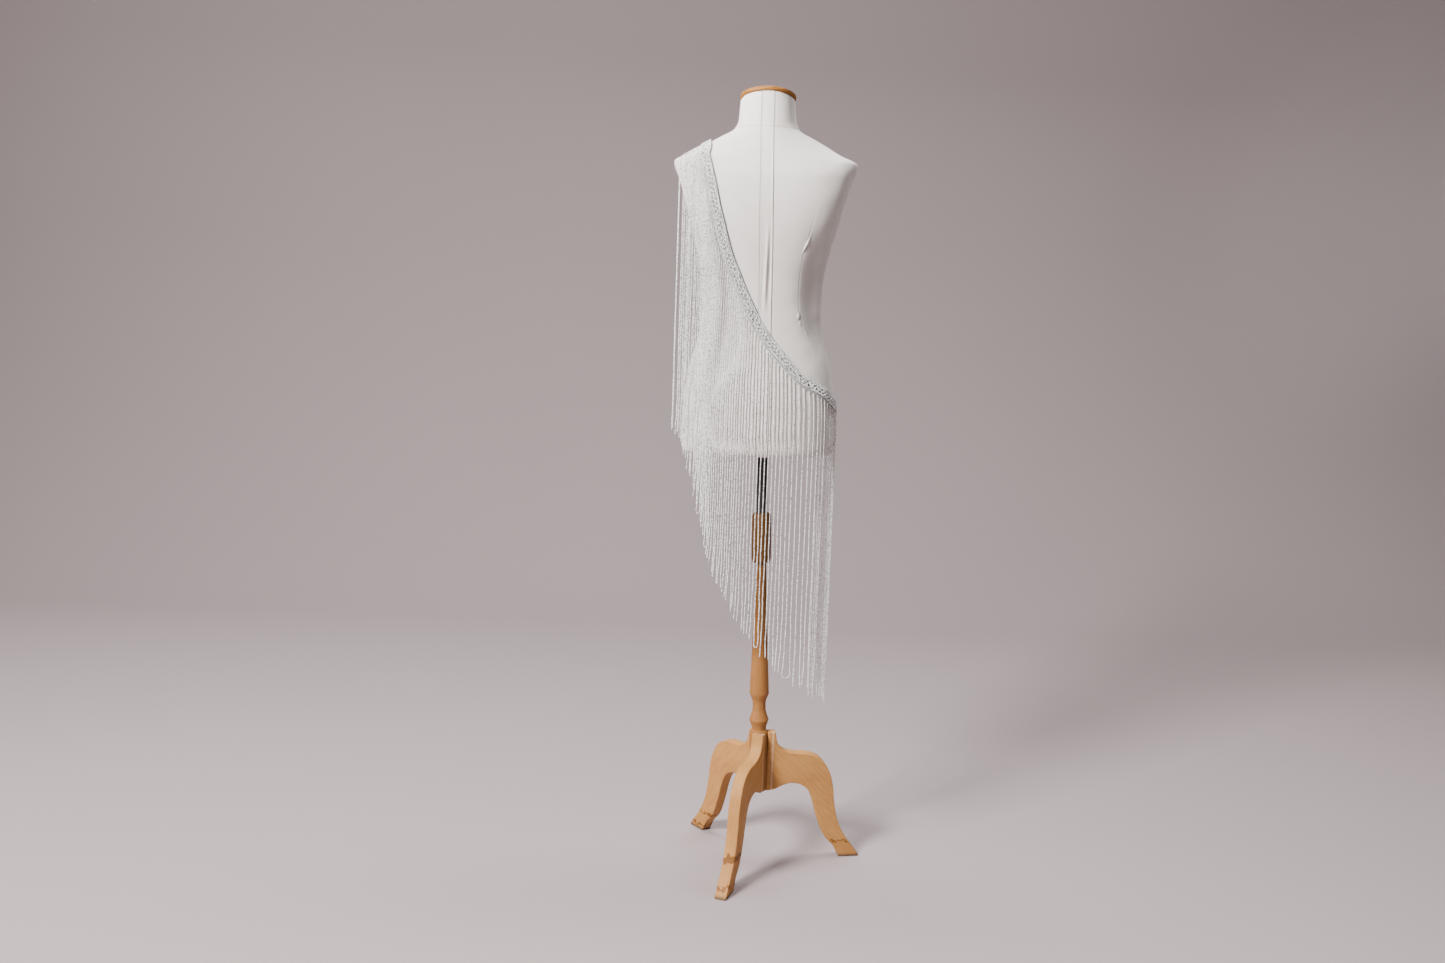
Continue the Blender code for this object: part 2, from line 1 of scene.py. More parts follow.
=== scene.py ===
"""Beaded fringe trim draped over a dress form on a wooden tripod stand, dressed over its solids.

Metres, +Z up. The form's back faces -Y and the camera; +X is the right as seen from behind. An azimuth
is a direction seen from above: 0 degrees is the back, 90 the right, -90 the left and 180 the front.
"""
import logging
import math
import random
from dataclasses import dataclass, field, replace
from enum import Enum, IntEnum
from typing import Any, NamedTuple, Optional, Sequence

import bmesh
import bpy
import numpy as np
from mathutils import Matrix, Vector


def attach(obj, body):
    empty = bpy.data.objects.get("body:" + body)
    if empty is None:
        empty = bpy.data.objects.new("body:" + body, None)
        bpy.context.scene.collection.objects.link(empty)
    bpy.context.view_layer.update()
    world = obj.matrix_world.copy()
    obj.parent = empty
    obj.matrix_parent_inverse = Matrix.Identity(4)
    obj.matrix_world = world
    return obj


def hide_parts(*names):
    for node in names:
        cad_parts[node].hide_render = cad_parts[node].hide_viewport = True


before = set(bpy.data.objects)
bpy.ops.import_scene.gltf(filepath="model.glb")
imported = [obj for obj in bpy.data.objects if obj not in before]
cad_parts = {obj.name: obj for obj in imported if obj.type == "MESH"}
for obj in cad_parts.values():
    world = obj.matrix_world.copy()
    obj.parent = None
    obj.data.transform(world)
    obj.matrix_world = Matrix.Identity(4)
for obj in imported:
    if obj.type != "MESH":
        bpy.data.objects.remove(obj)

LOG = logging.getLogger("fringe_trim")
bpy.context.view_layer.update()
BODY = "root"
DOWN = np.array((0.0, 0.0, -1.0))

GAP = 0.0003
POLE_FOOT = (0.0003, 0.0166)
STAND_LEAN = math.radians(1.4)
FORM_LEAN = math.radians(0.36)
FORM_FOOT_OFFSET = -0.012
FORM_GAP = 0.0005
ROD_TOP = 0.9165
FORM_HEIGHT = 0.742
NECK_TILT = math.radians(11)

STAND_FRAME = Matrix.Translation((*POLE_FOOT, 0.0)) @ Matrix.Rotation(-STAND_LEAN, 4, "Y")
FORM_FRAME = (STAND_FRAME
              @ Matrix.Translation((0.0, 0.0, ROD_TOP + FORM_GAP))
              @ Matrix.Rotation(STAND_LEAN - FORM_LEAN, 4, "Y")
              @ Matrix.Translation((FORM_FOOT_OFFSET, 0.0, 0.0)))


class FormRow(NamedTuple):
    """One level ring of the form: height, half sizes and how square it is (2 is an ellipse)."""
    height: float
    half_width: float
    back: float
    front: float
    squareness: float


class TrimRow(NamedTuple):
    """A place on the form that the trim crosses, and the azimuth its strands fall towards."""
    azimuth: float
    height: float
    fall: float


class SeamRow(NamedTuple):
    """Where the back's seams lie at a height: placket edges in metres, panel seam as an azimuth."""
    height: float
    placket_left: float
    placket_right: float
    panel_azimuth: float


class TurnRow(NamedTuple):
    """One ring of a turned piece."""
    radius: float
    height: float


class OutlineRow(NamedTuple):
    """One point of a leg board's outline; a corner is sharp and any other point is smooth."""
    reach: float
    height: float
    corner: bool


class Seam(IntEnum):
    """The cover's seams, from the front's left round the back to the front's right."""
    FRONT_LEFT = 0
    PANEL_LEFT = 1
    PLACKET_LEFT = 2
    PLACKET_RIGHT = 3
    PANEL_RIGHT = 4
    FRONT_RIGHT = 5


class ClothLine(NamedTuple):
    """A line in the cloth along a seam: its place, its drift in the fold, and its rise, or its painted
    shade in a shade table.
    """
    seam: Seam
    offset: float
    drift: float
    width: float
    amount: float


class Lamp(NamedTuple):
    """One soft area light: what it points at, its width and height, and its fan in degrees."""
    name: str
    place: tuple
    aim: tuple
    size: tuple
    watts: float
    colour: tuple
    spread: float = 180.0


class Crease(NamedTuple):
    """A short ridge in the cloth from one point to another, beside the right panel seam."""
    start_height: float
    start_offset: float
    end_height: float
    end_offset: float
    width: float
    rise: float


FORM = [
    FormRow(0.000, 0.1530, 0.101, 0.090, 2.30),
    FormRow(0.005, 0.1610, 0.109, 0.097, 2.30),
    FormRow(0.018, 0.1650, 0.114, 0.101, 2.30),
    FormRow(0.050, 0.1650, 0.117, 0.103, 2.30),
    FormRow(0.110, 0.1630, 0.115, 0.104, 2.30),
    FormRow(0.159, 0.1560, 0.108, 0.101, 2.25),
    FormRow(0.202, 0.1475, 0.099, 0.098, 2.20),
    FormRow(0.266, 0.1320, 0.088, 0.093, 2.15),
    FormRow(0.320, 0.1290, 0.083, 0.092, 2.15),
    FormRow(0.360, 0.1300, 0.084, 0.097, 2.20),
    FormRow(0.433, 0.1425, 0.093, 0.121, 2.40),
    FormRow(0.468, 0.1515, 0.098, 0.130, 2.55),
    FormRow(0.512, 0.1635, 0.101, 0.121, 2.75),
    FormRow(0.577, 0.1830, 0.094, 0.094, 2.60),
    FormRow(0.612, 0.1940, 0.079, 0.072, 2.30),
    FormRow(0.631, 0.1600, 0.073, 0.063, 1.95),
    FormRow(0.644, 0.1370, 0.069, 0.058, 1.75),
    FormRow(0.665, 0.0980, 0.063, 0.051, 1.80),
    FormRow(0.680, 0.0711, 0.058, 0.050, 1.95),
    FormRow(0.699, 0.0613, 0.0565, 0.0545, 2.00),
    FormRow(0.742, 0.0574, 0.0555, 0.0545, 2.00),
]

TRIM = [
    TrimRow(-127.0, 0.552, -134.0),
    TrimRow(-116.0, 0.612, -128.0),
    TrimRow(-104.0, 0.639, -122.0),
    TrimRow(-96.0, 0.6475, -118.0),
    TrimRow(-94.0, 0.6490, -38.0),
    TrimRow(-86.0, 0.6490, -36.0),
    TrimRow(-75.0, 0.639, -33.0),
    TrimRow(-65.0, 0.618, -31.0),
    TrimRow(-54.9, 0.5748, -24.0),
    TrimRow(-47.6, 0.5008, -16.0),
    TrimRow(-43.1, 0.4240, -12.0),
    TrimRow(-33.8, 0.3657, -8.0),
    TrimRow(-11.0, 0.2871, -3.0),
    TrimRow(8.3, 0.2422, 2.0),
    TrimRow(28.1, 0.1972, 10.0),
    TrimRow(44.0, 0.1607, 24.0),
    TrimRow(61.6, 0.1371, 46.0),
    TrimRow(75.4, 0.1114, 68.0),
    TrimRow(92.0, 0.0940, 90.0),
    TrimRow(112.0, 0.0880, 112.0),
    TrimRow(132.0, 0.0900, 132.0),
]

SEAMS = [
    SeamRow(0.000, -0.0060, 0.0190, 66.0),
    SeamRow(0.038, -0.0061, 0.0190, 64.8),
    SeamRow(0.101, -0.0062, 0.0190, 61.8),
    SeamRow(0.143, -0.0063, 0.0189, 60.2),
    SeamRow(0.176, -0.0065, 0.0189, 58.6),
    SeamRow(0.211, -0.0067, 0.0188, 57.2),
    SeamRow(0.243, -0.0069, 0.0187, 55.2),
    SeamRow(0.267, -0.0070, 0.0186, 52.4),
    SeamRow(0.306, -0.0074, 0.0182, 48.8),
    SeamRow(0.367, -0.0084, 0.0176, 46.6),
    SeamRow(0.420, -0.0098, 0.0167, 45.9),
    SeamRow(0.447, -0.0104, 0.0162, 46.8),
    SeamRow(0.500, -0.0117, 0.0147, 48.6),
    SeamRow(0.527, -0.0121, 0.0142, 49.0),
    SeamRow(0.609, -0.0131, 0.0129, 49.0),
    SeamRow(0.693, -0.0140, 0.0121, 48.0),
    SeamRow(0.742, -0.0140, 0.0121, 48.0),
]

CREASES = [
    Crease(0.4560, 0.0035, 0.4240, -0.0030, 0.0020, 0.0030),
    Crease(0.3010, -0.0008, 0.2870, -0.0095, 0.0020, 0.0026),
    Crease(0.2840, -0.0020, 0.2760, -0.0075, 0.0018, 0.0018),
    Crease(0.2640, 0.0030, 0.2540, 0.0080, 0.0018, 0.0016),
]

PLACKET_RISES = [
    ClothLine(Seam.PLACKET_RIGHT, -0.0016, 0.0, 0.0010, 0.0009),
    ClothLine(Seam.PLACKET_RIGHT, 0.0006, 0.0, 0.0006, -0.0010),
    ClothLine(Seam.PLACKET_LEFT, -0.0002, 0.0, 0.0008, -0.0013),
    ClothLine(Seam.PLACKET_LEFT, 0.0016, 0.0, 0.0010, 0.0007),
]
# Painted shade along the placket's edges: a dark line beside its folded right edge and in the groove at
# its left.
PLACKET_SHADE = [
    ClothLine(Seam.PLACKET_RIGHT, 0.0005, 0.0, 0.0010, 1.0),
    ClothLine(Seam.PLACKET_LEFT, 0.0, 0.0, 0.0012, 0.90),
]
FOLD_RISES = [
    ClothLine(Seam.PLACKET_RIGHT, -0.0050, -0.0100, 0.0036, 0.0034),
    ClothLine(Seam.PLACKET_RIGHT, -0.0028, -0.0050, 0.0034, -0.0023),
    ClothLine(Seam.PLACKET_RIGHT, -0.0075, -0.0135, 0.0014, -0.0014),
]
# Painted shade in the fold's grooves.
FOLD_SHADE = [
    ClothLine(Seam.PLACKET_RIGHT, -0.0028, -0.0045, 0.0012, 0.22),
    ClothLine(Seam.PLACKET_RIGHT, -0.0075, -0.0135, 0.0010, 0.30),
]

LAMPS = [
    Lamp("key", (-2.7, -2.8, 3.5), (0.0, 0.0, 1.0), (1.15, 1.15), 602.0, (1.0, 0.985, 0.965)),
    Lamp("fill", (-0.6, -4.4, 1.5), (0.0, 0.0, 1.0), (1.6, 1.6), 4.0, (1.0, 0.97, 0.94)),
    Lamp("shoulder", (-2.0, -1.9, 1.9), (0.0, 0.0, 1.88), (0.4, 0.4), 3.6,
         (1.0, 0.985, 0.965), 22.0),
    Lamp("floor", (0.3, -1.7, 3.6), (0.3, -1.3, 0.0), (0.8, 0.8), 7.0, (1.0, 0.985, 0.975), 50.0),
    Lamp("paper", (0.3, 0.8, 4.2), (0.2, -1.4, 0.0), (4.6, 1.2), 268.0, (1.0, 0.98, 0.98)),
]

POST_TOP = 0.6765
HUB_RADIUS = 0.0205
HUB_BOTTOM = 0.159
HUB_TOP = 0.2955
POST = [
    TurnRow(0.0000, POST_TOP),
    TurnRow(0.0100, POST_TOP),
    TurnRow(0.0112, 0.6740),
    TurnRow(0.0138, 0.5917),
    TurnRow(0.0177, 0.4766),
    TurnRow(0.0212, 0.3900),
    TurnRow(0.0216, 0.3810),
    TurnRow(0.0189, 0.3741),
    TurnRow(0.0160, 0.3670),
    TurnRow(0.0147, 0.3600),
    TurnRow(0.0147, 0.3443),
    TurnRow(0.0160, 0.3385),
    TurnRow(0.0188, 0.3295),
    TurnRow(0.0212, 0.3228),
    TurnRow(0.0216, 0.3205),
    TurnRow(0.0207, 0.3180),
    TurnRow(0.0190, 0.3135),
    TurnRow(0.0172, 0.3085),
    TurnRow(0.0162, 0.3035),
    TurnRow(0.0158, 0.2985),
    TurnRow(HUB_RADIUS - 0.0015, HUB_TOP),
    TurnRow(HUB_RADIUS, HUB_TOP - 0.0040),
    TurnRow(HUB_RADIUS, HUB_BOTTOM + 0.0025),
    TurnRow(HUB_RADIUS - 0.0025, HUB_BOTTOM),
    TurnRow(0.0000, HUB_BOTTOM),
]

LEG = [
    OutlineRow(0.0120, 0.2940, True),
    OutlineRow(0.0290, 0.2940, True),
    OutlineRow(0.0367, 0.2654, False),
    OutlineRow(0.0473, 0.2536, False),
    OutlineRow(0.0774, 0.2451, False),
    OutlineRow(0.1028, 0.2431, False),
    OutlineRow(0.1310, 0.2332, False),
    OutlineRow(0.1530, 0.2070, False),
    OutlineRow(0.1651, 0.1714, False),
    OutlineRow(0.1706, 0.1289, False),
    OutlineRow(0.1803, 0.0859, False),
    OutlineRow(0.1951, 0.0546, False),
    OutlineRow(0.2315, 0.0040, True),
    OutlineRow(0.2325, 0.0000, True),
    OutlineRow(0.1862, 0.0000, True),
    OutlineRow(0.1727, 0.0245, False),
    OutlineRow(0.1510, 0.0490, False),
    OutlineRow(0.1340, 0.0895, False),
    OutlineRow(0.1202, 0.1345, False),
    OutlineRow(0.1104, 0.1558, False),
    OutlineRow(0.0979, 0.1680, False),
    OutlineRow(0.0712, 0.1758, False),
    OutlineRow(0.0507, 0.1716, False),
    OutlineRow(0.0290, 0.1620, False),
    OutlineRow(0.0120, 0.1600, True),
]


class LegPlace(Enum):
    """The three legs: node name, azimuth, and each varnish line's height and half width."""
    RIGHT = ("leg_right", 99.1, ((0.037, 0.0012),))
    FRONT_LEFT = ("leg_front_left", -20.9, ((0.070, 0.0042), (0.020, 0.0012)))
    BACK_LEFT = ("leg_back_left", -140.9, ((0.013, 0.0018), (0.047, 0.0014)))


class Slot(Enum):
    """The record's material slots."""
    STRANDS = "strand_beads"
    HEADING = "heading_beads"
    CLOTH = "form_cloth"
    CAP = "cap_wood"
    WOOD = "stand_wood"
    ROD = "rod_metal"


def smooth_columns(rows: Sequence[Sequence[float]], places: np.ndarray) -> np.ndarray:
    """Read every column of a table at new places in its first column, without overshoot.

    Args:
        rows: The table, its first column rising.
        places: Where to read it.

    Returns:
        One row for each place.
    """
    table = np.array(rows, dtype=float)
    x = table[:, 0]
    steps = np.diff(x)[:, None]
    slopes = np.diff(table, axis=0) / steps
    tangents = np.zeros_like(table)
    same_way = slopes[:-1] * slopes[1:] > 0
    mean = np.where(same_way, slopes[:-1] + slopes[1:], 1.0)
    tangents[1:-1] = np.where(same_way, 2 * slopes[:-1] * slopes[1:] / mean, 0.0)
    tangents[0] = slopes[0]
    tangents[-1] = slopes[-1]
    places = np.asarray(places, dtype=float)
    span = np.clip(np.searchsorted(x, places, side="right") - 1, 0, len(x) - 2)
    width = steps[span]
    t = ((places - x[span]) / steps[span, 0])[:, None]
    start = (1 + 2 * t) * (1 - t) ** 2 * table[span] + t * (1 - t) ** 2 * width * tangents[span]
    end = t ** 2 * (3 - 2 * t) * table[span + 1] + t ** 2 * (t - 1) * width * tangents[span + 1]
    return start + end


def carry(points: np.ndarray, place: Matrix) -> np.ndarray:
    """Carry points from a frame into the world.

    Args:
        points: Points in the frame, one a row.
        place: The frame.

    Returns:
        The points in the world.
    """
    matrix = np.array(place)
    return points @ matrix[:3, :3].T + matrix[:3, 3]


def new_object(name: str, data: Any) -> bpy.types.Object:
    """Make an object from its mesh, curve, light or camera and link it to the scene."""
    obj = bpy.data.objects.new(name, data)
    bpy.context.scene.collection.objects.link(obj)
    return obj


def plain_mesh(obj: bpy.types.Object) -> bpy.types.Mesh:
    """Copy an object's mesh as its modifiers leave it."""
    bpy.context.view_layer.update()
    evaluated = obj.evaluated_get(bpy.context.evaluated_depsgraph_get())
    return bpy.data.meshes.new_from_object(evaluated)


def ring_faces(rings: int, sides: int) -> list:
    """Join each ring of points to the next.

    Args:
        rings: How many rings there are.
        sides: How many points each ring has.

    Returns:
        The corners of each face.
    """
    faces = []
    for ring in range(rings - 1):
        for side in range(sides):
            here, after = ring * sides + side, ring * sides + (side + 1) % sides
            faces.append((here, after, after + sides, here + sides))
    return faces


def new_mesh_object(name: str, points: np.ndarray, faces: Sequence[Sequence[int]],
                    edges: Sequence[Sequence[int]] = ()) -> bpy.types.Object:
    """Make a mesh object whose place is in its points.

    Args:
        name: The object's name.
        points: Its points in the world.
        faces: The corners of each face.
        edges: Loose edges, where it has no faces.

    Returns:
        The object, in the scene.
    """
    mesh = bpy.data.meshes.new(name)
    mesh.from_pydata(np.asarray(points).tolist(), edges, faces)
    mesh.update()
    return new_object(name, mesh)


def store(mesh: bpy.types.Mesh, name: str, kind: str, values: np.ndarray) -> None:
    """Store a value at each point of a mesh.

    Args:
        mesh: The mesh.
        name: The attribute's name.
        kind: FLOAT or FLOAT_VECTOR.
        values: One number or vector a point.
    """
    attribute = mesh.attributes.new(name, kind, "POINT")
    key = "vector" if kind == "FLOAT_VECTOR" else "value"
    attribute.data.foreach_set(key, np.asarray(values, dtype=np.float32).ravel())


def store_uv(mesh: bpy.types.Mesh, name: str, flat: np.ndarray) -> None:
    """Lay a mesh out flat, from a flat place for each point.

    Args:
        mesh: The mesh.
        name: The UV map's name.
        flat: Each point's place, in metres.
    """
    layer = mesh.uv_layers.new(name=name)
    corners = np.empty(len(mesh.loops), dtype=np.int32)
    mesh.loops.foreach_get("vertex_index", corners)
    layer.data.foreach_set("uv", np.asarray(flat, dtype=np.float32)[corners].ravel())


def face_out(obj: bpy.types.Object) -> None:
    """Turn a closed mesh's faces outwards."""
    bm = bmesh.new()
    bm.from_mesh(obj.data)
    bmesh.ops.recalc_face_normals(bm, faces=bm.faces)
    bm.to_mesh(obj.data)
    bm.free()


def shade(obj: bpy.types.Object, angle: float = 35.0) -> None:
    """Shade a mesh smooth except at its sharp edges."""
    obj.data.shade_smooth()
    obj.data.set_sharp_from_angle(angle=math.radians(angle))


def hand_over(obj: bpy.types.Object, material: bpy.types.Material, slot: Slot, *nodes: str) -> None:
    """Give a finished piece its material and its body, hide the nodes that it replaces, and log its size.

    Args:
        obj: The piece.
        material: Its finish, if it has none yet.
        slot: The record's material slot; not used.
        nodes: The nodes that it replaces.
    """
    if not obj.data.materials:
        obj.data.materials.append(material)
    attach(obj, BODY)
    if nodes:
        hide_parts(*nodes)
    LOG.info("%s: %d points, %d faces", obj.name, len(obj.data.vertices), len(obj.data.polygons))


class Wire:
    """A shader socket that works in Python expressions, adding a Math node for each step."""

    def __init__(self, recipe: "Recipe", socket: bpy.types.NodeSocket) -> None:
        """Hold a socket of a recipe."""
        self.recipe = recipe
        self.socket = socket

    def maths(self, operation: str, *values: Any) -> "Wire":
        """Add one Math node.

        Args:
            operation: Its operation.
            values: Its numbers or wires.

        Returns:
            The result.
        """
        return self.recipe.node("ShaderNodeMath", {"operation": operation}, dict(enumerate(values)))

    def __add__(self, other: Any) -> "Wire":
        """Add."""
        return self.maths("ADD", self, other)

    __radd__ = __add__

    def __sub__(self, other: Any) -> "Wire":
        """Subtract."""
        return self.maths("SUBTRACT", self, other)

    def __rsub__(self, other: Any) -> "Wire":
        """Subtract this from a number."""
        return self.maths("SUBTRACT", other, self)

    def __mul__(self, other: Any) -> "Wire":
        """Multiply."""
        return self.maths("MULTIPLY", self, other)

    __rmul__ = __mul__

    def __truediv__(self, other: Any) -> "Wire":
        """Divide."""
        return self.maths("DIVIDE", self, other)

    def power(self, other: Any) -> "Wire":
        """Raise to a power."""
        return self.maths("POWER", self, other)

    def size(self) -> "Wire":
        """Drop the sign."""
        return self.maths("ABSOLUTE", self)

    def wave(self) -> "Wire":
        """Take the sine."""
        return self.maths("SINE", self)

    def part(self) -> "Wire":
        """Keep the part after the point."""
        return self.maths("FRACT", self)

    def under(self, limit: Any) -> "Wire":
        """Give 1 below a limit and 0 above it."""
        return self.maths("LESS_THAN", self, limit)

    def at_most(self, limit: Any) -> "Wire":
        """Take the smaller."""
        return self.maths("MINIMUM", self, limit)

    def at_least(self, limit: Any) -> "Wire":
        """Take the larger."""
        return self.maths("MAXIMUM", self, limit)

    def between(self, low: float, high: float) -> "Wire":
        """Rise smoothly from 0 at one value to 1 at another.

        Args:
            low: Where it is 0.
            high: Where it is 1.

        Returns:
            The mask.
        """
        settings = {"interpolation_type": "SMOOTHSTEP"}
        inputs = {"Value": self, "From Min": low, "From Max": high}
        return self.recipe.node("ShaderNodeMapRange", settings, inputs)


class Recipe:
    """A material's node tree under construction."""
    MIX_FACTOR = 0
    MIX_FIRST = 6
    MIX_SECOND = 7
    MIX_RESULT = 2

    def __init__(self, name: str) -> None:
        """Start a material with a Principled shader."""
        self.material = bpy.data.materials.new(name)
        self.material.use_nodes = True
        self.tree = self.material.node_tree
        self.shader = self.tree.nodes["Principled BSDF"]

    def node(self, kind: str, settings: Optional[dict] = None, inputs: Optional[dict] = None,
             output: Any = 0) -> Wire:
        """Add a node.

        Args:
            kind: The node's type.
            settings: Its settings.
            inputs: Its sockets' values or wires, by name or number.
            output: The socket to give back.

        Returns:
            The wire of that output.
        """
        made = self.tree.nodes.new(kind)
        for key, value in (settings or {}).items():
            setattr(made, key, value)
        for key, value in (inputs or {}).items():
            self.join(made.inputs[key], value)
        return Wire(self, made.outputs[output])

    def join(self, socket: bpy.types.NodeSocket, value: Any) -> None:
        """Set a socket or link a wire to it."""
        if isinstance(value, Wire):
            self.tree.links.new(value.socket, socket)
        elif isinstance(value, tuple) and socket.type == "RGBA":
            socket.default_value = (*value[:3], 1.0)
        else:
            socket.default_value = value

    def place(self) -> Wire:
        """Give the piece's own coordinates, in metres."""
        return self.node("ShaderNodeTexCoord", output="Object")

    def number(self, name: str) -> Wire:
        """Read a number stored on the mesh."""
        return self.node("ShaderNodeAttribute", {"attribute_name": name}, output="Fac")

    def vector(self, name: str) -> Wire:
        """Read a vector stored on the mesh."""
        return self.node("ShaderNodeAttribute", {"attribute_name": name}, output="Vector")

    def flat(self, name: str) -> Wire:
        """Read a UV map."""
        return self.node("ShaderNodeUVMap", {"uv_map": name})

    def parts(self, vector: Wire) -> tuple:
        """Split a vector into its three numbers."""
        split = self.node("ShaderNodeSeparateXYZ", inputs={0: vector})
        outputs = split.socket.node.outputs
        return tuple(Wire(self, outputs[index]) for index in range(3))

    def stretch(self, vector: Wire, scale: tuple, turn: tuple = (0.0, 0.0, 0.0)) -> Wire:
        """Scale and turn coordinates.

        Args:
            vector: The coordinates.
            scale: The scale along each axis, after the turn.
            turn: The turn, in radians.

        Returns:
            The new coordinates.
        """
        turned = self.node("ShaderNodeMapping", inputs={"Vector": vector, "Rotation": turn})
        return self.node("ShaderNodeMapping", inputs={"Vector": turned, "Scale": scale})

    def noise(self, vector: Wire, scale: float, detail: float = 3.0, roughness: float = 0.5,
              distortion: float = 0.0) -> Wire:
        """Give soft noise from 0 to 1.

        Args:
            vector: The coordinates.
            scale: Waves in a metre.
            detail: How many finer layers.
            roughness: How strong those are.
            distortion: How far it is pushed about.

        Returns:
            The noise.
        """
        inputs = {"Vector": vector, "Scale": scale, "Detail": detail, "Roughness": roughness,
                  "Distortion": distortion}
        return self.node("ShaderNodeTexNoise", inputs=inputs)

    def mix(self, factor: Any, first: Any, second: Any) -> Wire:
        """Mix two colours.

        Args:
            factor: 0 for the first and 1 for the second.
            first: A colour.
            second: A colour.

        Returns:
            The mixed colour.
        """
        inputs = {self.MIX_FACTOR: factor, self.MIX_FIRST: first, self.MIX_SECOND: second}
        return self.node("ShaderNodeMix", {"data_type": "RGBA"}, inputs, self.MIX_RESULT)

    def bump(self, height: Wire, distance: float, strength: float,
             under: Optional[Wire] = None) -> Wire:
        """Raise a surface in its shading.

        Args:
            height: The height, from 0 to 1.
            distance: How high 1 is, in metres.
            strength: How strongly it shows.
            under: A bump below this one.

        Returns:
            The normal.
        """
        inputs = {"Height": height, "Distance": distance, "Strength": strength}
        if under is not None:
            inputs["Normal"] = under
        return self.node("ShaderNodeBump", inputs=inputs)

    def finish(self, **sockets: Any) -> bpy.types.Material:
        """Set the shader's sockets, named with underscores for spaces.

        Returns:
            The material.
        """
        for key, value in sockets.items():
            self.join(self.shader.inputs[key.replace("_", " ")], value)
        return self.material


@dataclass(frozen=True)
class CottonFinish:
    """Off-white plain-woven cotton, drawn tight, with seams, a line of top stitching, faint soil, and
    painted shade in its seams, folds and creases.
    """
    colour: tuple = (0.715, 0.672, 0.642)
    # The colour that the cloth's faint soil and its painted shade darken it towards.
    shaded_and_stained: tuple = (0.440, 0.385, 0.325)
    thread: tuple = (0.520, 0.490, 0.450)
    thread_pitch: float = 0.00075
    stitch_pitch: float = 0.0030
    stitch_share: float = 0.68

    def make(self) -> bpy.types.Material:
        """Build the material on the cut map, in metres."""
        recipe = Recipe("off_white_cotton")
        cut = recipe.flat("cut")
        across, up, _ = recipe.parts(cut)
        slub_up = recipe.noise(recipe.stretch(cut, (1.0, 0.06, 1.0)), 900.0, 2.0)
        slub_across = recipe.noise(recipe.stretch(cut, (0.06, 1.0, 1.0)), 900.0, 2.0)
        turns = 2 * math.pi / self.thread_pitch
        warp = (across * turns + slub_up * 2.0).wave()
        weft = (up * turns + slub_across * 2.0).wave()
        weave = (warp * weft) * 0.5 + 0.5
        cloud = recipe.noise(cut, 9.0, 4.0, 0.6)
        fine = recipe.noise(cut, 160.0, 3.0, 0.6)
        # The seam value is painted shade in the grooves, beside the placket's edges, in the fold and in
        # the creases' hollows. The cloud and fine noise are the cloth's own faint soil.
        seam = recipe.number("seam")
        soil_and_shade = (cloud.between(0.42, 0.80) * 0.13 + seam * 0.80 + (1.0 - weave) * 0.06
                + fine.between(0.55, 0.85) * 0.06)
        colour = recipe.mix(soil_and_shade.at_most(1.0), self.colour, self.shaded_and_stained)
        edge = recipe.number("top_stitch").size()
        dash = (up / self.stitch_pitch).part().under(self.stitch_share)
        stitch = (1.0 - edge.between(0.0003, 0.0008)) * dash
        colour = recipe.mix(stitch * 0.35, colour, self.thread)
        low = recipe.bump(slub_up + slub_across + fine, 0.00012, 0.5)
        cloth = recipe.bump(weave, 0.00016, 0.55, low)
        sewn = recipe.bump(1.0 - stitch, 0.0004, 0.8, cloth)
        return recipe.finish(Base_Color=colour, Roughness=0.86 + fine * 0.08, Normal=sewn,
                             Sheen_Weight=0.12, Sheen_Roughness=0.5, Specular_IOR_Level=0.25)


@dataclass(frozen=True)
class BeadFinish:
    """Silver-white glass beads with a satin surface, each a little lighter or darker, partly in their own
    tone and partly as painted shade.
    """
    name: str = "strand_glass"
    light: tuple = (0.960, 0.952, 0.946)
    dark: tuple = (0.350, 0.341, 0.336)
    roughness: float = 0.16
    evenness: float = 3.3
    # How much clustered darkening is added: painted shade between groups of beads.
    cluster_shade: float = 0.14

    def make(self) -> bpy.types.Material:
        """Build the material."""
        recipe = Recipe(self.name)
        place = recipe.place()
        tint = recipe.number("tint")
        cloud = recipe.noise(place, 60.0, 2.0)
        grain = recipe.noise(place, 1500.0, 2.0)
        clusters = recipe.noise(place, 240.0, 1.0)
        # Each bead's random darkening is partly the glass's own tone and partly painted shade for beads
        # and facets that catch no light. The clusters add painted shade between groups of beads.
        shade_of = ((1.0 - tint).power(self.evenness) + cloud.between(0.50, 0.80) * 0.10
                    + clusters.between(0.52, 0.66) * self.cluster_shade)
        colour = recipe.mix(shade_of.at_most(1.0), self.light, self.dark)
        rough = self.roughness + tint * 0.16 + grain * 0.06
        return recipe.finish(Base_Color=colour, Roughness=rough, Coat_Weight=0.5, Coat_Roughness=0.10,
                             Normal=recipe.bump(grain, 0.0001, 0.25))


@dataclass(frozen=True)
class TapeFinish:
    """The woven silver-grey tape that beads and strands are sewn to. Its dark grey, seen between the
    heading's beads and along its edge, is partly painted shade.
    """
    name: str = "woven_tape"
    light: tuple = (0.360, 0.354, 0.346)
    dark: tuple = (0.170, 0.166, 0.161)
    thread_pitch: float = 0.0012083

    def make(self) -> bpy.types.Material:
        """Build the material on the tape's own map, in metres."""
        recipe = Recipe(self.name)
        cut = recipe.flat("cut")
        along, across, _ = recipe.parts(cut)
        turns = 2 * math.pi / self.thread_pitch
        threads = ((along * turns).wave() * (across * turns).wave()) * 0.5 + 0.5
        knots = recipe.noise(cut, 420.0, 3.0, 0.6)
        colour = recipe.mix(threads * 0.5 + knots * 0.5, self.dark, self.light)
        return recipe.finish(Base_Color=colour, Roughness=0.70 + knots * 0.15,
                             Normal=recipe.bump(threads + knots, 0.0003, 0.7))


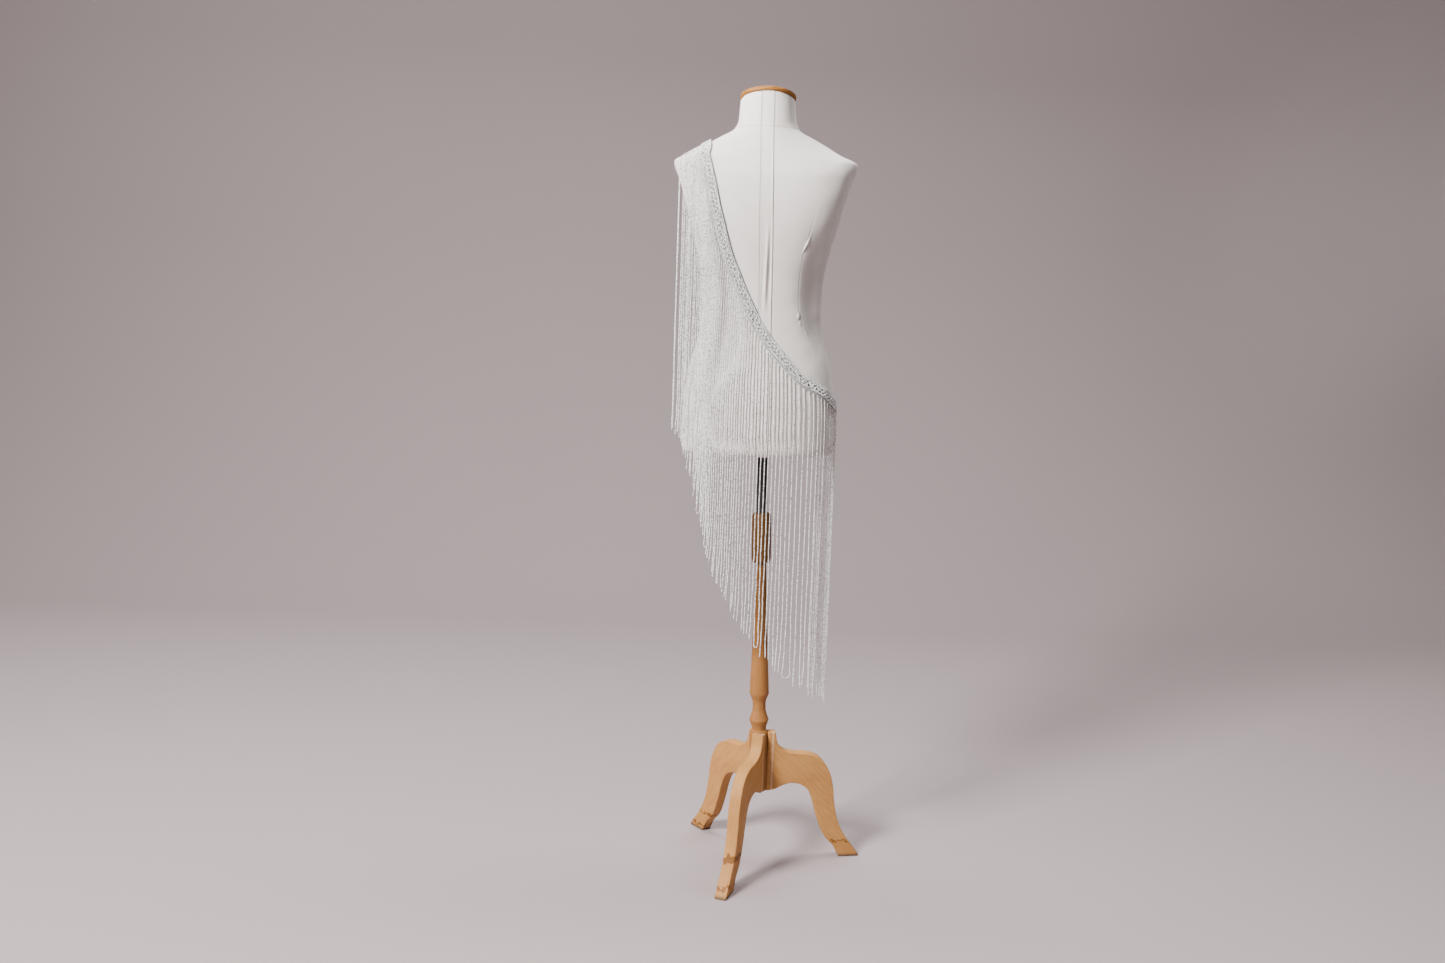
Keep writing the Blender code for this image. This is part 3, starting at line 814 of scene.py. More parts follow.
@dataclass(frozen=True)
class WoodFinish:
    """Tan varnished wood: grain along each board, dark lines near a foot, a pale line beside the hub, and
    painted shade at the foot and on the upper post.
    """
    name: str = "tan_varnished_wood"
    light: tuple = (0.540, 0.274, 0.088)
    dark: tuple = (0.330, 0.135, 0.036)
    pore: tuple = (0.200, 0.082, 0.028)
    marks: tuple = ()
    grain_turn: float = 0.0
    roughness: float = 0.52
    joint_reach: float = 0.0
    # Painted shade of the strands on the upper post: the wood darkens from this height, over this span.
    strand_shade_from: float = 0.0
    strand_shade_over: float = 0.07
    # The colour of a pale line along a leg beside its joint with the hub.
    pale_line: tuple = (0.740, 0.620, 0.460)
    stain: tuple = (0.340, 0.145, 0.042)
    stain_edge: float = 0.001
    wet: tuple = (0.180, 0.066, 0.011)
    line_edge: float = 0.0026
    # Painted contact shadow at the foot: its colour, and the heights over which it fades out.
    foot_shade: tuple = (0.060, 0.042, 0.032)
    foot_shade_reach: tuple = (0.001, 0.010)

    def make(self) -> bpy.types.Material:
        """Build the material on the board's own coordinates: reach, height and thickness."""
        recipe = Recipe(self.name)
        board = recipe.vector("board")
        turn = (0.0, self.grain_turn, 0.0)
        figure = recipe.noise(recipe.stretch(board, (1.0, 1.0, 0.10), turn), 70.0, 4.0, 0.55, 0.6)
        fibre = recipe.noise(recipe.stretch(board, (1.0, 1.0, 0.035), turn), 900.0, 4.0, 0.65)
        pores = recipe.noise(recipe.stretch(board, (1.0, 1.0, 0.025), turn), 2400.0, 1.0)
        tone = recipe.noise(board, 14.0, 3.0)
        rings = (figure * 34.0).wave() * 0.5 + 0.5
        figured = (rings * 0.24 + fibre * 0.34 + tone * 0.26).at_most(1.0)
        colour = recipe.mix(figured, self.light, self.dark)
        colour = recipe.mix(pores.between(0.60, 0.72) * 0.45, colour, self.pore)
        reach, _, height = recipe.parts(board)
        if self.marks:
            colour = self.mark(recipe, board, height, colour)
        # Painted shade of the strands, darker up the post.
        if self.strand_shade_from:
            strand_shade = height.between(self.strand_shade_from, self.strand_shade_from + self.strand_shade_over)
            colour = recipe.mix(strand_shade * 0.62, colour, self.pore)
        # A broken pale line along the leg beside the hub.
        if self.joint_reach:
            pale_line = 1.0 - (reach - self.joint_reach).size().between(0.0008, 0.0021)
            pale_line = pale_line * recipe.noise(board, 60.0, 2.0).between(0.28, 0.46)
            colour = recipe.mix(pale_line * 0.50, colour, self.pale_line)
        rough = self.roughness + fibre * 0.16
        relief = recipe.bump(pores.between(0.55, 0.75) * -1.0 + fibre * 0.5, 0.00025, 0.45)
        return recipe.finish(Base_Color=colour, Roughness=rough, Normal=relief,
                             Coat_Weight=0.03, Coat_Roughness=0.35, Specular_IOR_Level=0.16)

    def mark(self, recipe: Recipe, board: Wire, height: Wire, colour: Wire) -> Wire:
        """Draw wavering dark lines across a leg, a stain below the first and a painted contact shadow at
        the foot.

        Args:
            recipe: The material's recipe.
            board: The board's own coordinates.
            height: The height among them.
            colour: The colour so far.

        Returns:
            The colour with its marks.
        """
        wander = recipe.noise(board, 75.0, 3.0, 0.6)
        runny = (recipe.noise(board, 140.0, 2.0) - 0.5) * 0.006
        wavering = height + (wander - 0.5) * 0.042
        lines = [1.0 - ((wavering - level).size() - runny).between(half, half + self.line_edge)
                 for level, half in self.marks]
        wet = lines[0]
        for line in lines[1:]:
            wet = wet.at_least(line)
        first = self.marks[0][0]
        stained = 1.0 - wavering.between(first - self.stain_edge, first + self.stain_edge)
        # Painted contact shadow, darkest at the floor.
        foot_shade = 1.0 - height.between(*self.foot_shade_reach)
        colour = recipe.mix(stained * 0.30, colour, self.stain)
        colour = recipe.mix(wet * 0.95, colour, self.wet)
        return recipe.mix(foot_shade * 0.85, colour, self.foot_shade)


@dataclass(frozen=True)
class EnamelFinish:
    """Black enamel on a steel rod, rubbed a little."""
    colour: tuple = (0.012, 0.012, 0.013)
    rubbed: tuple = (0.050, 0.048, 0.046)

    def make(self) -> bpy.types.Material:
        """Build the material."""
        recipe = Recipe("black_enamel")
        place = recipe.place()
        rub = recipe.noise(recipe.stretch(place, (1.0, 1.0, 0.08)), 500.0, 3.0)
        dust = recipe.noise(place, 45.0, 3.0)
        colour = recipe.mix(rub.between(0.58, 0.80) * 0.6, self.colour, self.rubbed)
        return recipe.finish(Base_Color=colour, Roughness=0.30 + dust * 0.22,
                             Normal=recipe.bump(rub, 0.0001, 0.3), Coat_Weight=0.3, Coat_Roughness=0.2)


@dataclass(frozen=True)
class BoardFinish:
    """The grey-brown pressed board that closes the form from below."""
    light: tuple = (0.330, 0.270, 0.205)
    dark: tuple = (0.215, 0.170, 0.125)

    def make(self) -> bpy.types.Material:
        """Build the material."""
        recipe = Recipe("pressed_board")
        place = recipe.place()
        flakes = recipe.noise(place, 260.0, 4.0, 0.7)
        stain = recipe.noise(place, 18.0, 3.0)
        colour = recipe.mix(flakes * 0.6 + stain * 0.4, self.light, self.dark)
        return recipe.finish(Base_Color=colour, Roughness=0.82 + flakes * 0.1,
                             Normal=recipe.bump(flakes, 0.0004, 0.6))


@dataclass(frozen=True)
class PaperFinish:
    """The studio's grey-mauve seamless paper."""
    colour: tuple = (0.342, 0.283, 0.289)
    darkening: float = 0.95

    def make(self) -> bpy.types.Material:
        """Build the material."""
        recipe = Recipe("seamless_paper")
        place = recipe.place()
        cloud = recipe.noise(place, 1.6, 3.0)
        fine = recipe.noise(place, 220.0, 3.0)
        darker = tuple(value * self.darkening for value in self.colour)
        colour = recipe.mix(cloud * 0.7 + fine * 0.3, self.colour, darker)
        return recipe.finish(Base_Color=colour, Roughness=0.88, Normal=recipe.bump(fine, 0.0003, 0.3))


CAP_WOOD = WoodFinish(name="cap_wood", light=(0.285, 0.120, 0.026), dark=(0.170, 0.066, 0.012))
# The sleeve's darker wood is a shaded copy of the post's: painted shade of the strands that hang over it.
SHADED_SLEEVE_WOOD = WoodFinish(name="sleeve_wood", light=(0.170, 0.078, 0.018), dark=(0.078, 0.031, 0.006),
                         pore=(0.045, 0.017, 0.004))
POST_WOOD = WoodFinish(name="post_wood", light=(0.385, 0.172, 0.050), dark=(0.220, 0.087, 0.024),
                       pore=(0.105, 0.043, 0.009), strand_shade_from=0.435)
# The heading's beads get darker specks and more clustered painted shade.
HEADING_GLASS = BeadFinish(name="heading_glass", light=(0.985, 0.978, 0.972),
                           dark=(0.120, 0.118, 0.116), evenness=6.2, cluster_shade=0.30)
FOOTING_CORD = TapeFinish(name="twisted_cord", light=(0.700, 0.690, 0.675), dark=(0.480, 0.470, 0.458))


@dataclass
class FormShape:
    """The form's rings as a surface that other pieces lie on, in the form's frame."""
    rows: Sequence[FormRow] = tuple(FORM)
    neck_base: float = 0.685
    fine: np.ndarray = field(init=False)

    def __post_init__(self) -> None:
        """Read the rings every millimetre."""
        self.fine = smooth_columns(self.rows, np.linspace(0.0, FORM_HEIGHT, 743))

    def sizes(self, height: Any) -> list:
        """Give half width, back, front and squareness at a height or heights."""
        return [np.interp(height, self.fine[:, 0], self.fine[:, column]) for column in range(1, 5)]

    def outside(self, points: np.ndarray) -> np.ndarray:
        """Give below 0 inside the form, 0 on it and above 0 outside."""
        x, y, z = points[..., 0], points[..., 1], points[..., 2]
        half_width, back, front, square = self.sizes(z)
        depth = np.where(y < 0, back, front)
        return (np.abs(x / half_width) ** square + np.abs(y / depth) ** square) ** (1 / square) - 1

    def slope(self, points: np.ndarray, step: float = 0.0004) -> np.ndarray:
        """Give the way straight out of the form, not of unit length."""
        rises = [self.outside(points + shift) - self.outside(points - shift)
                 for shift in np.eye(3) * step]
        return np.stack(rises, axis=-1) / (2 * step)

    def room(self, points: np.ndarray) -> np.ndarray:
        """Give about how far points lie off the surface."""
        return self.outside(points) / np.linalg.norm(self.slope(points), axis=-1)

    def settle(self, points: np.ndarray, lift: Any) -> np.ndarray:
        """Move points on to the surface and then off it.

        Args:
            points: Points near the form.
            lift: How far off each one ends.

        Returns:
            The moved points.
        """
        points = np.array(points, dtype=float)
        for _ in range(5):
            slope = self.slope(points)
            points = points - (self.outside(points) / (slope ** 2).sum(axis=-1))[..., None] * slope
        slope = self.slope(points)
        way = slope / np.linalg.norm(slope, axis=-1)[..., None]
        return points + way * np.asarray(lift)[..., None]

    def surface_point(self, azimuth: float, height: float) -> np.ndarray:
        """Give the surface's point in a direction at a height."""
        half_width, back, front, square = self.sizes(height)
        across, along = math.sin(math.radians(azimuth)), -math.cos(math.radians(azimuth))
        depth = back if along < 0 else front
        reach = abs(across / half_width) ** square + abs(along / depth) ** square
        radius = reach ** (-1 / square)
        return np.array((across * radius, along * radius, height))

    def outline(self, height: float, samples: int = 1441) -> tuple:
        """Walk round one ring from the front, past the left, the back and the right.

        Args:
            height: The ring's height.
            samples: How many points.

        Returns:
            Each point's walk from the back's middle, its x, its y and its azimuth.
        """
        half_width, back, front, square = self.sizes(height)
        turn = np.linspace(-math.pi, math.pi, samples)
        across, along = np.sin(turn), -np.cos(turn)
        x = half_width * np.sign(across) * np.abs(across) ** (2 / square)
        y = np.where(along < 0, back, front) * np.sign(along) * np.abs(along) ** (2 / square)
        walk = np.concatenate(([0.0], np.cumsum(np.hypot(np.diff(x), np.diff(y)))))
        walk -= walk[samples // 2]
        azimuth = np.degrees(np.unwrap(np.arctan2(x, -y)[1:-1]))
        return walk, x, y, np.concatenate(([-180.0], azimuth, [180.0]))


class TrimLine:
    """The line that the heading follows over the form, read by the length along it."""
    LENGTH = 0.914
    FRONT_FALL = -118.0
    BACK_FALL = -38.0
    AHEAD = 0.004

    def __init__(self, shape: FormShape, samples: int = 500) -> None:
        """Trace the rows over the form and keep the middle of the line."""
        numbered = [(index, *row) for index, row in enumerate(TRIM)]
        traced = smooth_columns(numbered, np.linspace(0, len(TRIM) - 1, samples))
        self.shape = shape
        self.points = np.array([shape.surface_point(azimuth, height)
                                for _, azimuth, height, _ in traced])
        self.falls = traced[:, -1]
        steps = np.linalg.norm(np.diff(self.points, axis=0), axis=1)
        self.lengths = np.concatenate(([0.0], np.cumsum(steps)))
        self.start = (self.lengths[-1] - self.LENGTH) / 2

    def points_at(self, lengths: np.ndarray) -> np.ndarray:
        """Give the line's points at lengths from its start."""
        where = self.start + lengths
        columns = [np.interp(where, self.lengths, self.points[:, axis]) for axis in range(3)]
        return np.stack(columns, axis=-1)

    def frames(self, lengths: np.ndarray) -> tuple:
        """Give points, directions along, directions out and directions towards the strands."""
        along = self.points_at(lengths + self.AHEAD) - self.points_at(lengths - self.AHEAD)
        along /= np.linalg.norm(along, axis=-1)[..., None]
        points = self.shape.settle(self.points_at(lengths), np.zeros(len(lengths)))
        out = self.shape.slope(points)
        out /= np.linalg.norm(out, axis=-1)[..., None]
        side = np.cross(along, out)
        side /= np.linalg.norm(side, axis=-1)[..., None]
        return points, along, out, side

    def spot(self, lengths: np.ndarray, across: np.ndarray, lift: np.ndarray) -> np.ndarray:
        """Give world points beside and above the line.

        Args:
            lengths: How far along.
            across: How far towards the strands.
            lift: How far off the form.

        Returns:
            The points in the world.
        """
        points, _, _, side = self.frames(lengths)
        return carry(self.shape.settle(points + side * across[..., None], lift), FORM_FRAME)

    def fall(self, length: float) -> np.ndarray:
        """Give the level way that a strand falls, to one side or the other at the ridge."""
        azimuth = float(np.interp(self.start + length, self.lengths, self.falls))
        if self.FRONT_FALL < azimuth < self.BACK_FALL:
            ridge = (self.FRONT_FALL + self.BACK_FALL) / 2
            azimuth = self.BACK_FALL if azimuth > ridge else self.FRONT_FALL
        turn = math.radians(azimuth)
        return np.array((math.sin(turn), -math.cos(turn), 0.0))


@dataclass
class PaddedForm:
    """The cloth-covered body, its board below and the wooden plate on its neck."""
    shape: FormShape
    rings: int = 204
    princess_azimuth: float = 142.0
    near_seam: tuple = (0.0004, 0.0010, 0.0018, 0.0028, 0.0040, 0.0055, 0.0075, 0.0100)
    fills: tuple = (17, 38, 24, 3, 24, 38, 17)
    neck_seam_height: float = 0.681
    board_inset: float = 0.90
    board_recess: float = 0.0012
    cap_radius: float = 0.0588
    cap_thickness: float = 0.0090
    cap_rounding: float = 0.0030
    back_seams_end: tuple = (0.47, 0.53)
    back_seams_share: float = 0.4
    front_seams_end: tuple = (0.62, 0.66)
    groove_depth: float = 0.0008
    groove_ridge: float = 0.0003
    waist_band: tuple = (0.19, 0.29, 0.35, 0.50)
    hollow_beyond: float = 0.041
    hollow_spread: tuple = (0.033, 0.032)
    hollow_depth: float = 0.0125
    placket_rise: float = 0.0009
    fold_band: tuple = (0.285, 0.36, 0.40, 0.505)
    fold_spread: tuple = (0.30, 0.50)
    # How strongly a crease's hollow is darkened with painted shade, and the most that it gets.
    crease_shade: float = 420.0
    crease_shade_limit: float = 0.45
    dent_depth: float = 0.00035
    plain_edge: tuple = (0.002, 0.012)
    top_turn: float = 0.0050
    top_drawn_in: float = 0.055

    def heights(self) -> np.ndarray:
        """Give the cover's ring heights, closer at its bottom edge, its neck seam and its top."""
        plain = np.linspace(0.0, FORM_HEIGHT, self.rings)
        edge = np.array((0.0012, 0.0024, 0.0036, 0.005, 0.0075, 0.010, 0.014, 0.018))
        beside = np.array((-0.003, -0.0015, -0.0006, 0.0, 0.0006, 0.0015, 0.003))
        seam = self.neck_seam_height + beside
        top = FORM_HEIGHT - np.array((0.006, 0.0045, 0.003, 0.0018, 0.0008))
        return np.unique(np.round(np.concatenate((plain, edge, seam, top)), 5))

    def seams(self, height: float, walk: np.ndarray, azimuth: np.ndarray) -> np.ndarray:
        """Give each seam's walk round a ring, from the left to the right.

        Args:
            height: The ring's height.
            walk: The ring's walk from the back's middle.
            azimuth: Its azimuths.

        Returns:
            The walks, in the order of Seam.
        """
        row = SeamRow(*smooth_columns(SEAMS, np.array((height,)))[0])
        panel = np.interp(row.panel_azimuth, azimuth, walk)
        front = np.interp(self.princess_azimuth, azimuth, walk)
        return np.array((-front, -panel, row.placket_left, row.placket_right, panel, front))

    def stations(self, seams: np.ndarray, half: float) -> np.ndarray:
        """Give the walks of a ring's points: close beside every seam and even between them.

        Args:
            seams: The seams' walks.
            half: Half the ring's length.

        Returns:
            The walks, from the front's middle round to just before it.
        """
        offsets = np.array(self.near_seam)
        reach = offsets[-1]
        edges = [-half]
        for seam in seams:
            edges += [seam - reach, seam + reach]
        edges.append(half)
        walks = []
        for index, count in enumerate(self.fills):
            low, high = edges[2 * index], edges[2 * index + 1]
            between = np.linspace(low, high, count + 2)[1:-1]
            walks += ([low] if index == 0 else []) + list(between)
            if index < len(seams):
                beside = np.concatenate((-offsets[::-1], [0.0], offsets))
                walks += list(seams[index] + beside)
        return np.array(walks)

    @staticmethod
    def fade(values: np.ndarray, low: float, high: float) -> np.ndarray:
        """Rise smoothly from 0 to 1 between two values."""
        t = np.clip((values - low) / (high - low), 0.0, 1.0)
        return t * t * (3 - 2 * t)

    @staticmethod
    def bell(away: np.ndarray, width: float) -> np.ndarray:
        """Fall smoothly from 1 on a line to 0 beside it."""
        return np.exp(-(away / width) ** 2)

    def within(self, heights: np.ndarray, band: tuple) -> np.ndarray:
        """Rise from 0 to 1 and fall back to 0 again, between a band's four heights."""
        low, full, waning, high = band
        return self.fade(heights, low, full) * (1.0 - self.fade(heights, waning, high))

    def lines(self, table: Sequence[ClothLine], away: Sequence[np.ndarray],
              spread: np.ndarray) -> list:
        """Work out some lines in the cloth.

        Args:
            table: The lines.
            away: Each point's walk from each seam.
            spread: How far each line drifts, from 0 to 1.

        Returns:
            Each line's amount at each point.
        """
        return [line.amount
                * self.bell(away[line.seam] - line.offset - line.drift * spread, line.width)
                for line in table]

    def sewn_seams(self, heights: np.ndarray, away: Sequence[np.ndarray]) -> tuple:
        """Give the long seams' rise and painted shade: a groove between two low ridges, darkened along its
        bottom.
        """
        rise, soil_and_shade = np.zeros_like(heights), np.zeros_like(heights)
        back = self.back_seams_share * (1.0 - self.fade(heights, *self.back_seams_end))
        front = 1.0 - self.fade(heights, *self.front_seams_end)
        for seam, strength in ((Seam.FRONT_LEFT, front), (Seam.PANEL_LEFT, back),
                               (Seam.PANEL_RIGHT, back), (Seam.FRONT_RIGHT, front)):
            rise -= self.groove_depth * strength * self.bell(away[seam], 0.0010)
            rise += self.groove_ridge * strength * self.bell(np.abs(away[seam]) - 0.0028, 0.0016)
            # Painted shade along the groove's bottom.
            soil_and_shade = np.maximum(soil_and_shade, 0.55 * strength * self.bell(away[seam], 0.0011))
        return rise, soil_and_shade

    def side_hollows(self, heights: np.ndarray, away: Sequence[np.ndarray]) -> np.ndarray:
        """Give the depth of the hollow at each side of the waist."""
        waist = self.within(heights, self.waist_band)
        depth = np.zeros_like(heights)
        for seam, side in ((Seam.PANEL_LEFT, -1.0), (Seam.PANEL_RIGHT, 1.0)):
            beyond = away[seam] * side - self.hollow_beyond
            spread = np.where(beyond < 0, *self.hollow_spread)
            depth += self.hollow_depth * waist * self.bell(beyond, spread)
        return depth

    def dents(self, heights: np.ndarray, walks: np.ndarray) -> np.ndarray:
        """Give the depth of the shallow dents all over the cloth."""
        waves = (np.sin(heights * 71.0 + walks * 43.0) * np.sin(heights * 37.0 - walks * 61.0 + 1.3)
                 + 0.6 * np.sin(heights * 131.0 + 2.0) * np.sin(walks * 97.0))
        return self.dent_depth * (1.0 + np.clip(waves, -1.0, 1.0))

    def relief(self, heights: np.ndarray, walks: np.ndarray, seams: np.ndarray) -> tuple:
        """Work out how far the cloth stands off the plain form.

        Args:
            heights: Each point's height.
            walks: Each point's walk round its ring.
            seams: Each ring's seams.

        Returns:
            The rise and the painted shade at each point, in its seams, placket, fold and creases.
        """
        away = [walks - seams[:, seam][:, None] for seam in Seam]
        rise, soil_and_shade = self.sewn_seams(heights, away)
        rise -= self.side_hollows(heights, away) + self.dents(heights, walks)
        inside = (self.fade(away[Seam.PLACKET_LEFT], -0.0004, 0.0008)
                  * (1.0 - self.fade(away[Seam.PLACKET_RIGHT], -0.0003, 0.0003)))
        fold = self.within(heights, self.fold_band)
        spread = 1.0 - 0.5 * self.fade(heights, *self.fold_spread)
        neck = heights - self.neck_seam_height
        rise += self.placket_rise * inside - 0.0007 * self.bell(neck, 0.0008)
        rise += sum(self.lines(PLACKET_RISES, away, spread))
        rise += fold * sum(self.lines(FOLD_RISES, away, spread))
        # Painted shade in the neck seam's groove, beside the placket's edges and in the fold's grooves.
        painted_shades = [0.6 * self.bell(neck, 0.0010)]
        painted_shades += self.lines(PLACKET_SHADE, away, spread)
        painted_shades += [fold * line for line in self.lines(FOLD_SHADE, away, spread)]
        # Each crease also gets painted shade where it dips below the cloth.
        for crease in CREASES:
            folded = self.crease_rise(crease, heights, away[Seam.PANEL_RIGHT])
            rise += folded
            painted_shades.append(np.clip(-folded * self.crease_shade, 0.0, self.crease_shade_limit))
        return rise, np.maximum.reduce([soil_and_shade, *painted_shades])

    def crease_rise(self, crease: Crease, heights: np.ndarray, offsets: np.ndarray) -> np.ndarray:
        """Work out one crease: a ridge along a short line, with a hollow beside it.

        Args:
            crease: The crease.
            heights: Each point's height.
            offsets: Each point's walk from the panel seam.

        Returns:
            The rise at each point.
        """
        run = np.array((crease.end_height - crease.start_height,
                        crease.end_offset - crease.start_offset))
        length = float(np.hypot(*run))
        way = run / length
        up, over = heights - crease.start_height, offsets - crease.start_offset
        along = np.clip((up * way[0] + over * way[1]) / length, 0.0, 1.0)
        near_up, near_over = up - run[0] * along, over - run[1] * along
        away = np.hypot(near_up, near_over)
        side = np.sign(near_up * way[1] - near_over * way[0])
        tall = np.sin(np.pi * np.clip(along, 0.04, 0.96))
        ridge = self.bell(away, crease.width)
        hollow = self.bell(away - 2.0 * crease.width, crease.width) * (side > 0)
        return crease.rise * tall * (ridge - 0.6 * hollow)

    def plain_rings(self, heights: np.ndarray) -> tuple:
        """Lay the cover's rings out on the plain form, sloping more towards the neck's top.

        Args:
            heights: Each ring's height.

        Returns:
            Each point's place and its walk, and each ring's seams.
        """
        grids, walks, seams = [], [], []
        for height in heights:
            walk, x, y, azimuth = self.shape.outline(height)
            ring_seams = self.seams(height, walk, azimuth)
            stations = self.stations(ring_seams, walk[-1])
            px, py = np.interp(stations, walk, x), np.interp(stations, walk, y)
            neck = max(0.0, (height - self.shape.neck_base) / (FORM_HEIGHT - self.shape.neck_base))
            tip = math.tan(NECK_TILT) * neck
            grids.append(np.stack((px, py, height - py * tip), axis=-1))
            walks.append(stations)
            seams.append(ring_seams)
        return np.array(grids), np.array(walks), np.array(seams)

    @staticmethod
    def outward(grid: np.ndarray) -> np.ndarray:
        """Give the way straight out at each point of the rings."""
        ringed = np.concatenate((grid[:, -1:], grid, grid[:, :1]), axis=1)
        normal = np.cross(ringed[:, 2:] - ringed[:, :-2], np.gradient(grid, axis=0))
        return normal / np.linalg.norm(normal, axis=-1)[..., None]

    def close(self, grid: np.ndarray) -> tuple:
        """Join the rings, turn the hem in round the board and close both ends.

        Args:
            grid: The rings' points.

        Returns:
            All the points, the rings' first, and the faces.
        """
        rows, columns = grid.shape[:2]
        faces = ring_faces(rows, columns)
        points = grid.reshape(-1, 3)
        inset = self.board_inset
        last = 0
        for scale, lift in ((inset + 0.004, 0.0), (inset, 0.0012), (inset, 0.0050)):
            start = len(points)
            points = np.vstack((points, grid[0] * (scale, scale, 1.0) + (0.0, 0.0, lift)))
            for column in range(columns):
                after = (column + 1) % columns
                faces.append((last + after, last + column, start + column, start + after))
            last = start
        faces.append(tuple(last + column for column in reversed(range(columns))))
        top = (rows - 1) * columns
        faces.append(tuple(top + column for column in range(columns)))
        return points, faces

    def make_cover(self, cotton: bpy.types.Material) -> None:
        """Build the cloth cover: one closed skin with its seams, placket, fold and creases.

        Args:
            cotton: Its finish.
        """
        heights = self.heights()
        grid, walk, seams = self.plain_rings(heights)
        level = np.repeat(heights[:, None], walk.shape[1], axis=1)
        # The second value is the painted shade in the cloth's seams, placket, fold and creases.
        rise, seam = self.relief(level, walk, seams)
        grid = grid + self.outward(grid) * (rise * self.fade(level, *self.plain_edge))[..., None]
        turned_in = self.fade(level, FORM_HEIGHT - self.top_turn, FORM_HEIGHT)
        grid[..., :2] *= (1.0 - self.top_drawn_in * turned_in ** 2)[..., None]
        lengths = np.linalg.norm(np.diff(grid, axis=0), axis=-1)
        up = np.concatenate((np.zeros((1, grid.shape[1])), np.cumsum(lengths, axis=0)))
        points, faces = self.close(grid)
        cover = new_mesh_object("form_cover", carry(points, FORM_FRAME), faces)
        hidden = points[walk.size:]
        flat = np.stack((walk.ravel(), up.ravel()), axis=-1)
        store_uv(cover.data, "cut", np.vstack((flat, hidden[:, :2])))
        # The seam value is that painted shade, and the cotton darkens with it.
        store(cover.data, "seam", "FLOAT", np.concatenate((seam.ravel(), np.zeros(len(hidden)))))
        stitch = (walk - seams[:, Seam.PLACKET_LEFT][:, None]).ravel()
        store(cover.data, "top_stitch", "FLOAT", np.concatenate((stitch, np.ones(len(hidden)))))
        face_out(cover)
        shade(cover, 60)
        hand_over(cover, cotton, Slot.CLOTH, "form_body")

    def make_board(self, board: bpy.types.Material) -> None:
        """Build the board that closes the form from below, let into the turned-in cloth.

        Args:
            board: Its finish.
        """
        _, x, y, _ = self.shape.outline(0.0, 193)
        scale = self.board_inset - 0.004
        ring = np.stack((x[:-1] * scale, y[:-1] * scale), axis=-1)
        low = self.board_recess
        levels = ((0.992, low), (1.0, low + 0.0006), (1.0, 0.0046))
        points = [(px * inset, py * inset, level) for inset, level in levels for px, py in ring]
        count = len(ring)
        faces = ring_faces(len(levels), count)
        faces.append(tuple(reversed(range(count))))
        faces.append(tuple(range(len(points) - count, len(points))))
        piece = new_mesh_object("form_board", carry(np.array(points), FORM_FRAME), faces)
        face_out(piece)
        shade(piece)
        hand_over(piece, board, Slot.CLOTH)

    def make_cap(self, wood: bpy.types.Material) -> None:
        """Build the neck's wooden plate: a little domed above, rounded at its rim."""
        radius, rounding, thick = self.cap_radius, self.cap_rounding, self.cap_thickness
        dome = ((0.0, 0.0015), (0.35, 0.0013), (0.65, 0.0008), (0.85, 0.0003))
        rows = [TurnRow(radius * share, thick + rise) for share, rise in dome]
        rows += rim_rows(radius, thick, 0.0, rounding, rounding)
        rows.append(TurnRow(0.0, 0.0))
        above = Matrix.Translation((0.0, 0.0, FORM_HEIGHT + GAP))
        seat = above @ Matrix.Rotation(-NECK_TILT, 4, "X")
        cap = turned("neck_plate", rows, FORM_FRAME @ seat, 96, sideways=True)
        hand_over(cap, wood, Slot.CAP, "neck_cap")


def rim_rows(radius: float, top: float, bottom: float, wide: float, tall: float) -> list:
    """Round a turned piece's upper and lower rims.

    Args:
        radius: The piece's radius between them.
        top: Its upper height.
        bottom: Its lower height.
        wide: How far a rounding reaches inwards.
        tall: How far it reaches up or down.

    Returns:
        The profile, from the upper rim to the lower one.
    """
    turns = [math.radians(degrees) for degrees in range(0, 91, 15)]
    reach = [(radius - wide * (1 - math.cos(turn)), tall * (1 - math.sin(turn))) for turn in turns]
    upper = [TurnRow(out, top - drop) for out, drop in reversed(reach)]
    return upper + [TurnRow(out, bottom + rise) for out, rise in reach]


def rounded(rows: Sequence[TurnRow], reach: float = 0.0011, share: float = 0.33) -> list:
    """Round the corners of a turned profile a little.

    Args:
        rows: The profile.
        reach: How far from a corner its rounding starts, at most.
        share: The most of an edge that it takes.

    Returns:
        The new profile.
    """
    kept = [rows[0]]
    for before, row, after in zip(rows, rows[1:], rows[2:]):
        corner = np.array(row)
        inward, outward = np.array(before) - corner, np.array(after) - corner
        near_in = min(reach / np.linalg.norm(inward), share)
        near_out = min(reach / np.linalg.norm(outward), share)
        first, last = corner + inward * near_in, corner + outward * near_out
        middle = (first + last) / 4 + corner / 2
        kept += [TurnRow(*first), TurnRow(*middle), TurnRow(*last)]
    kept.append(rows[-1])
    return kept


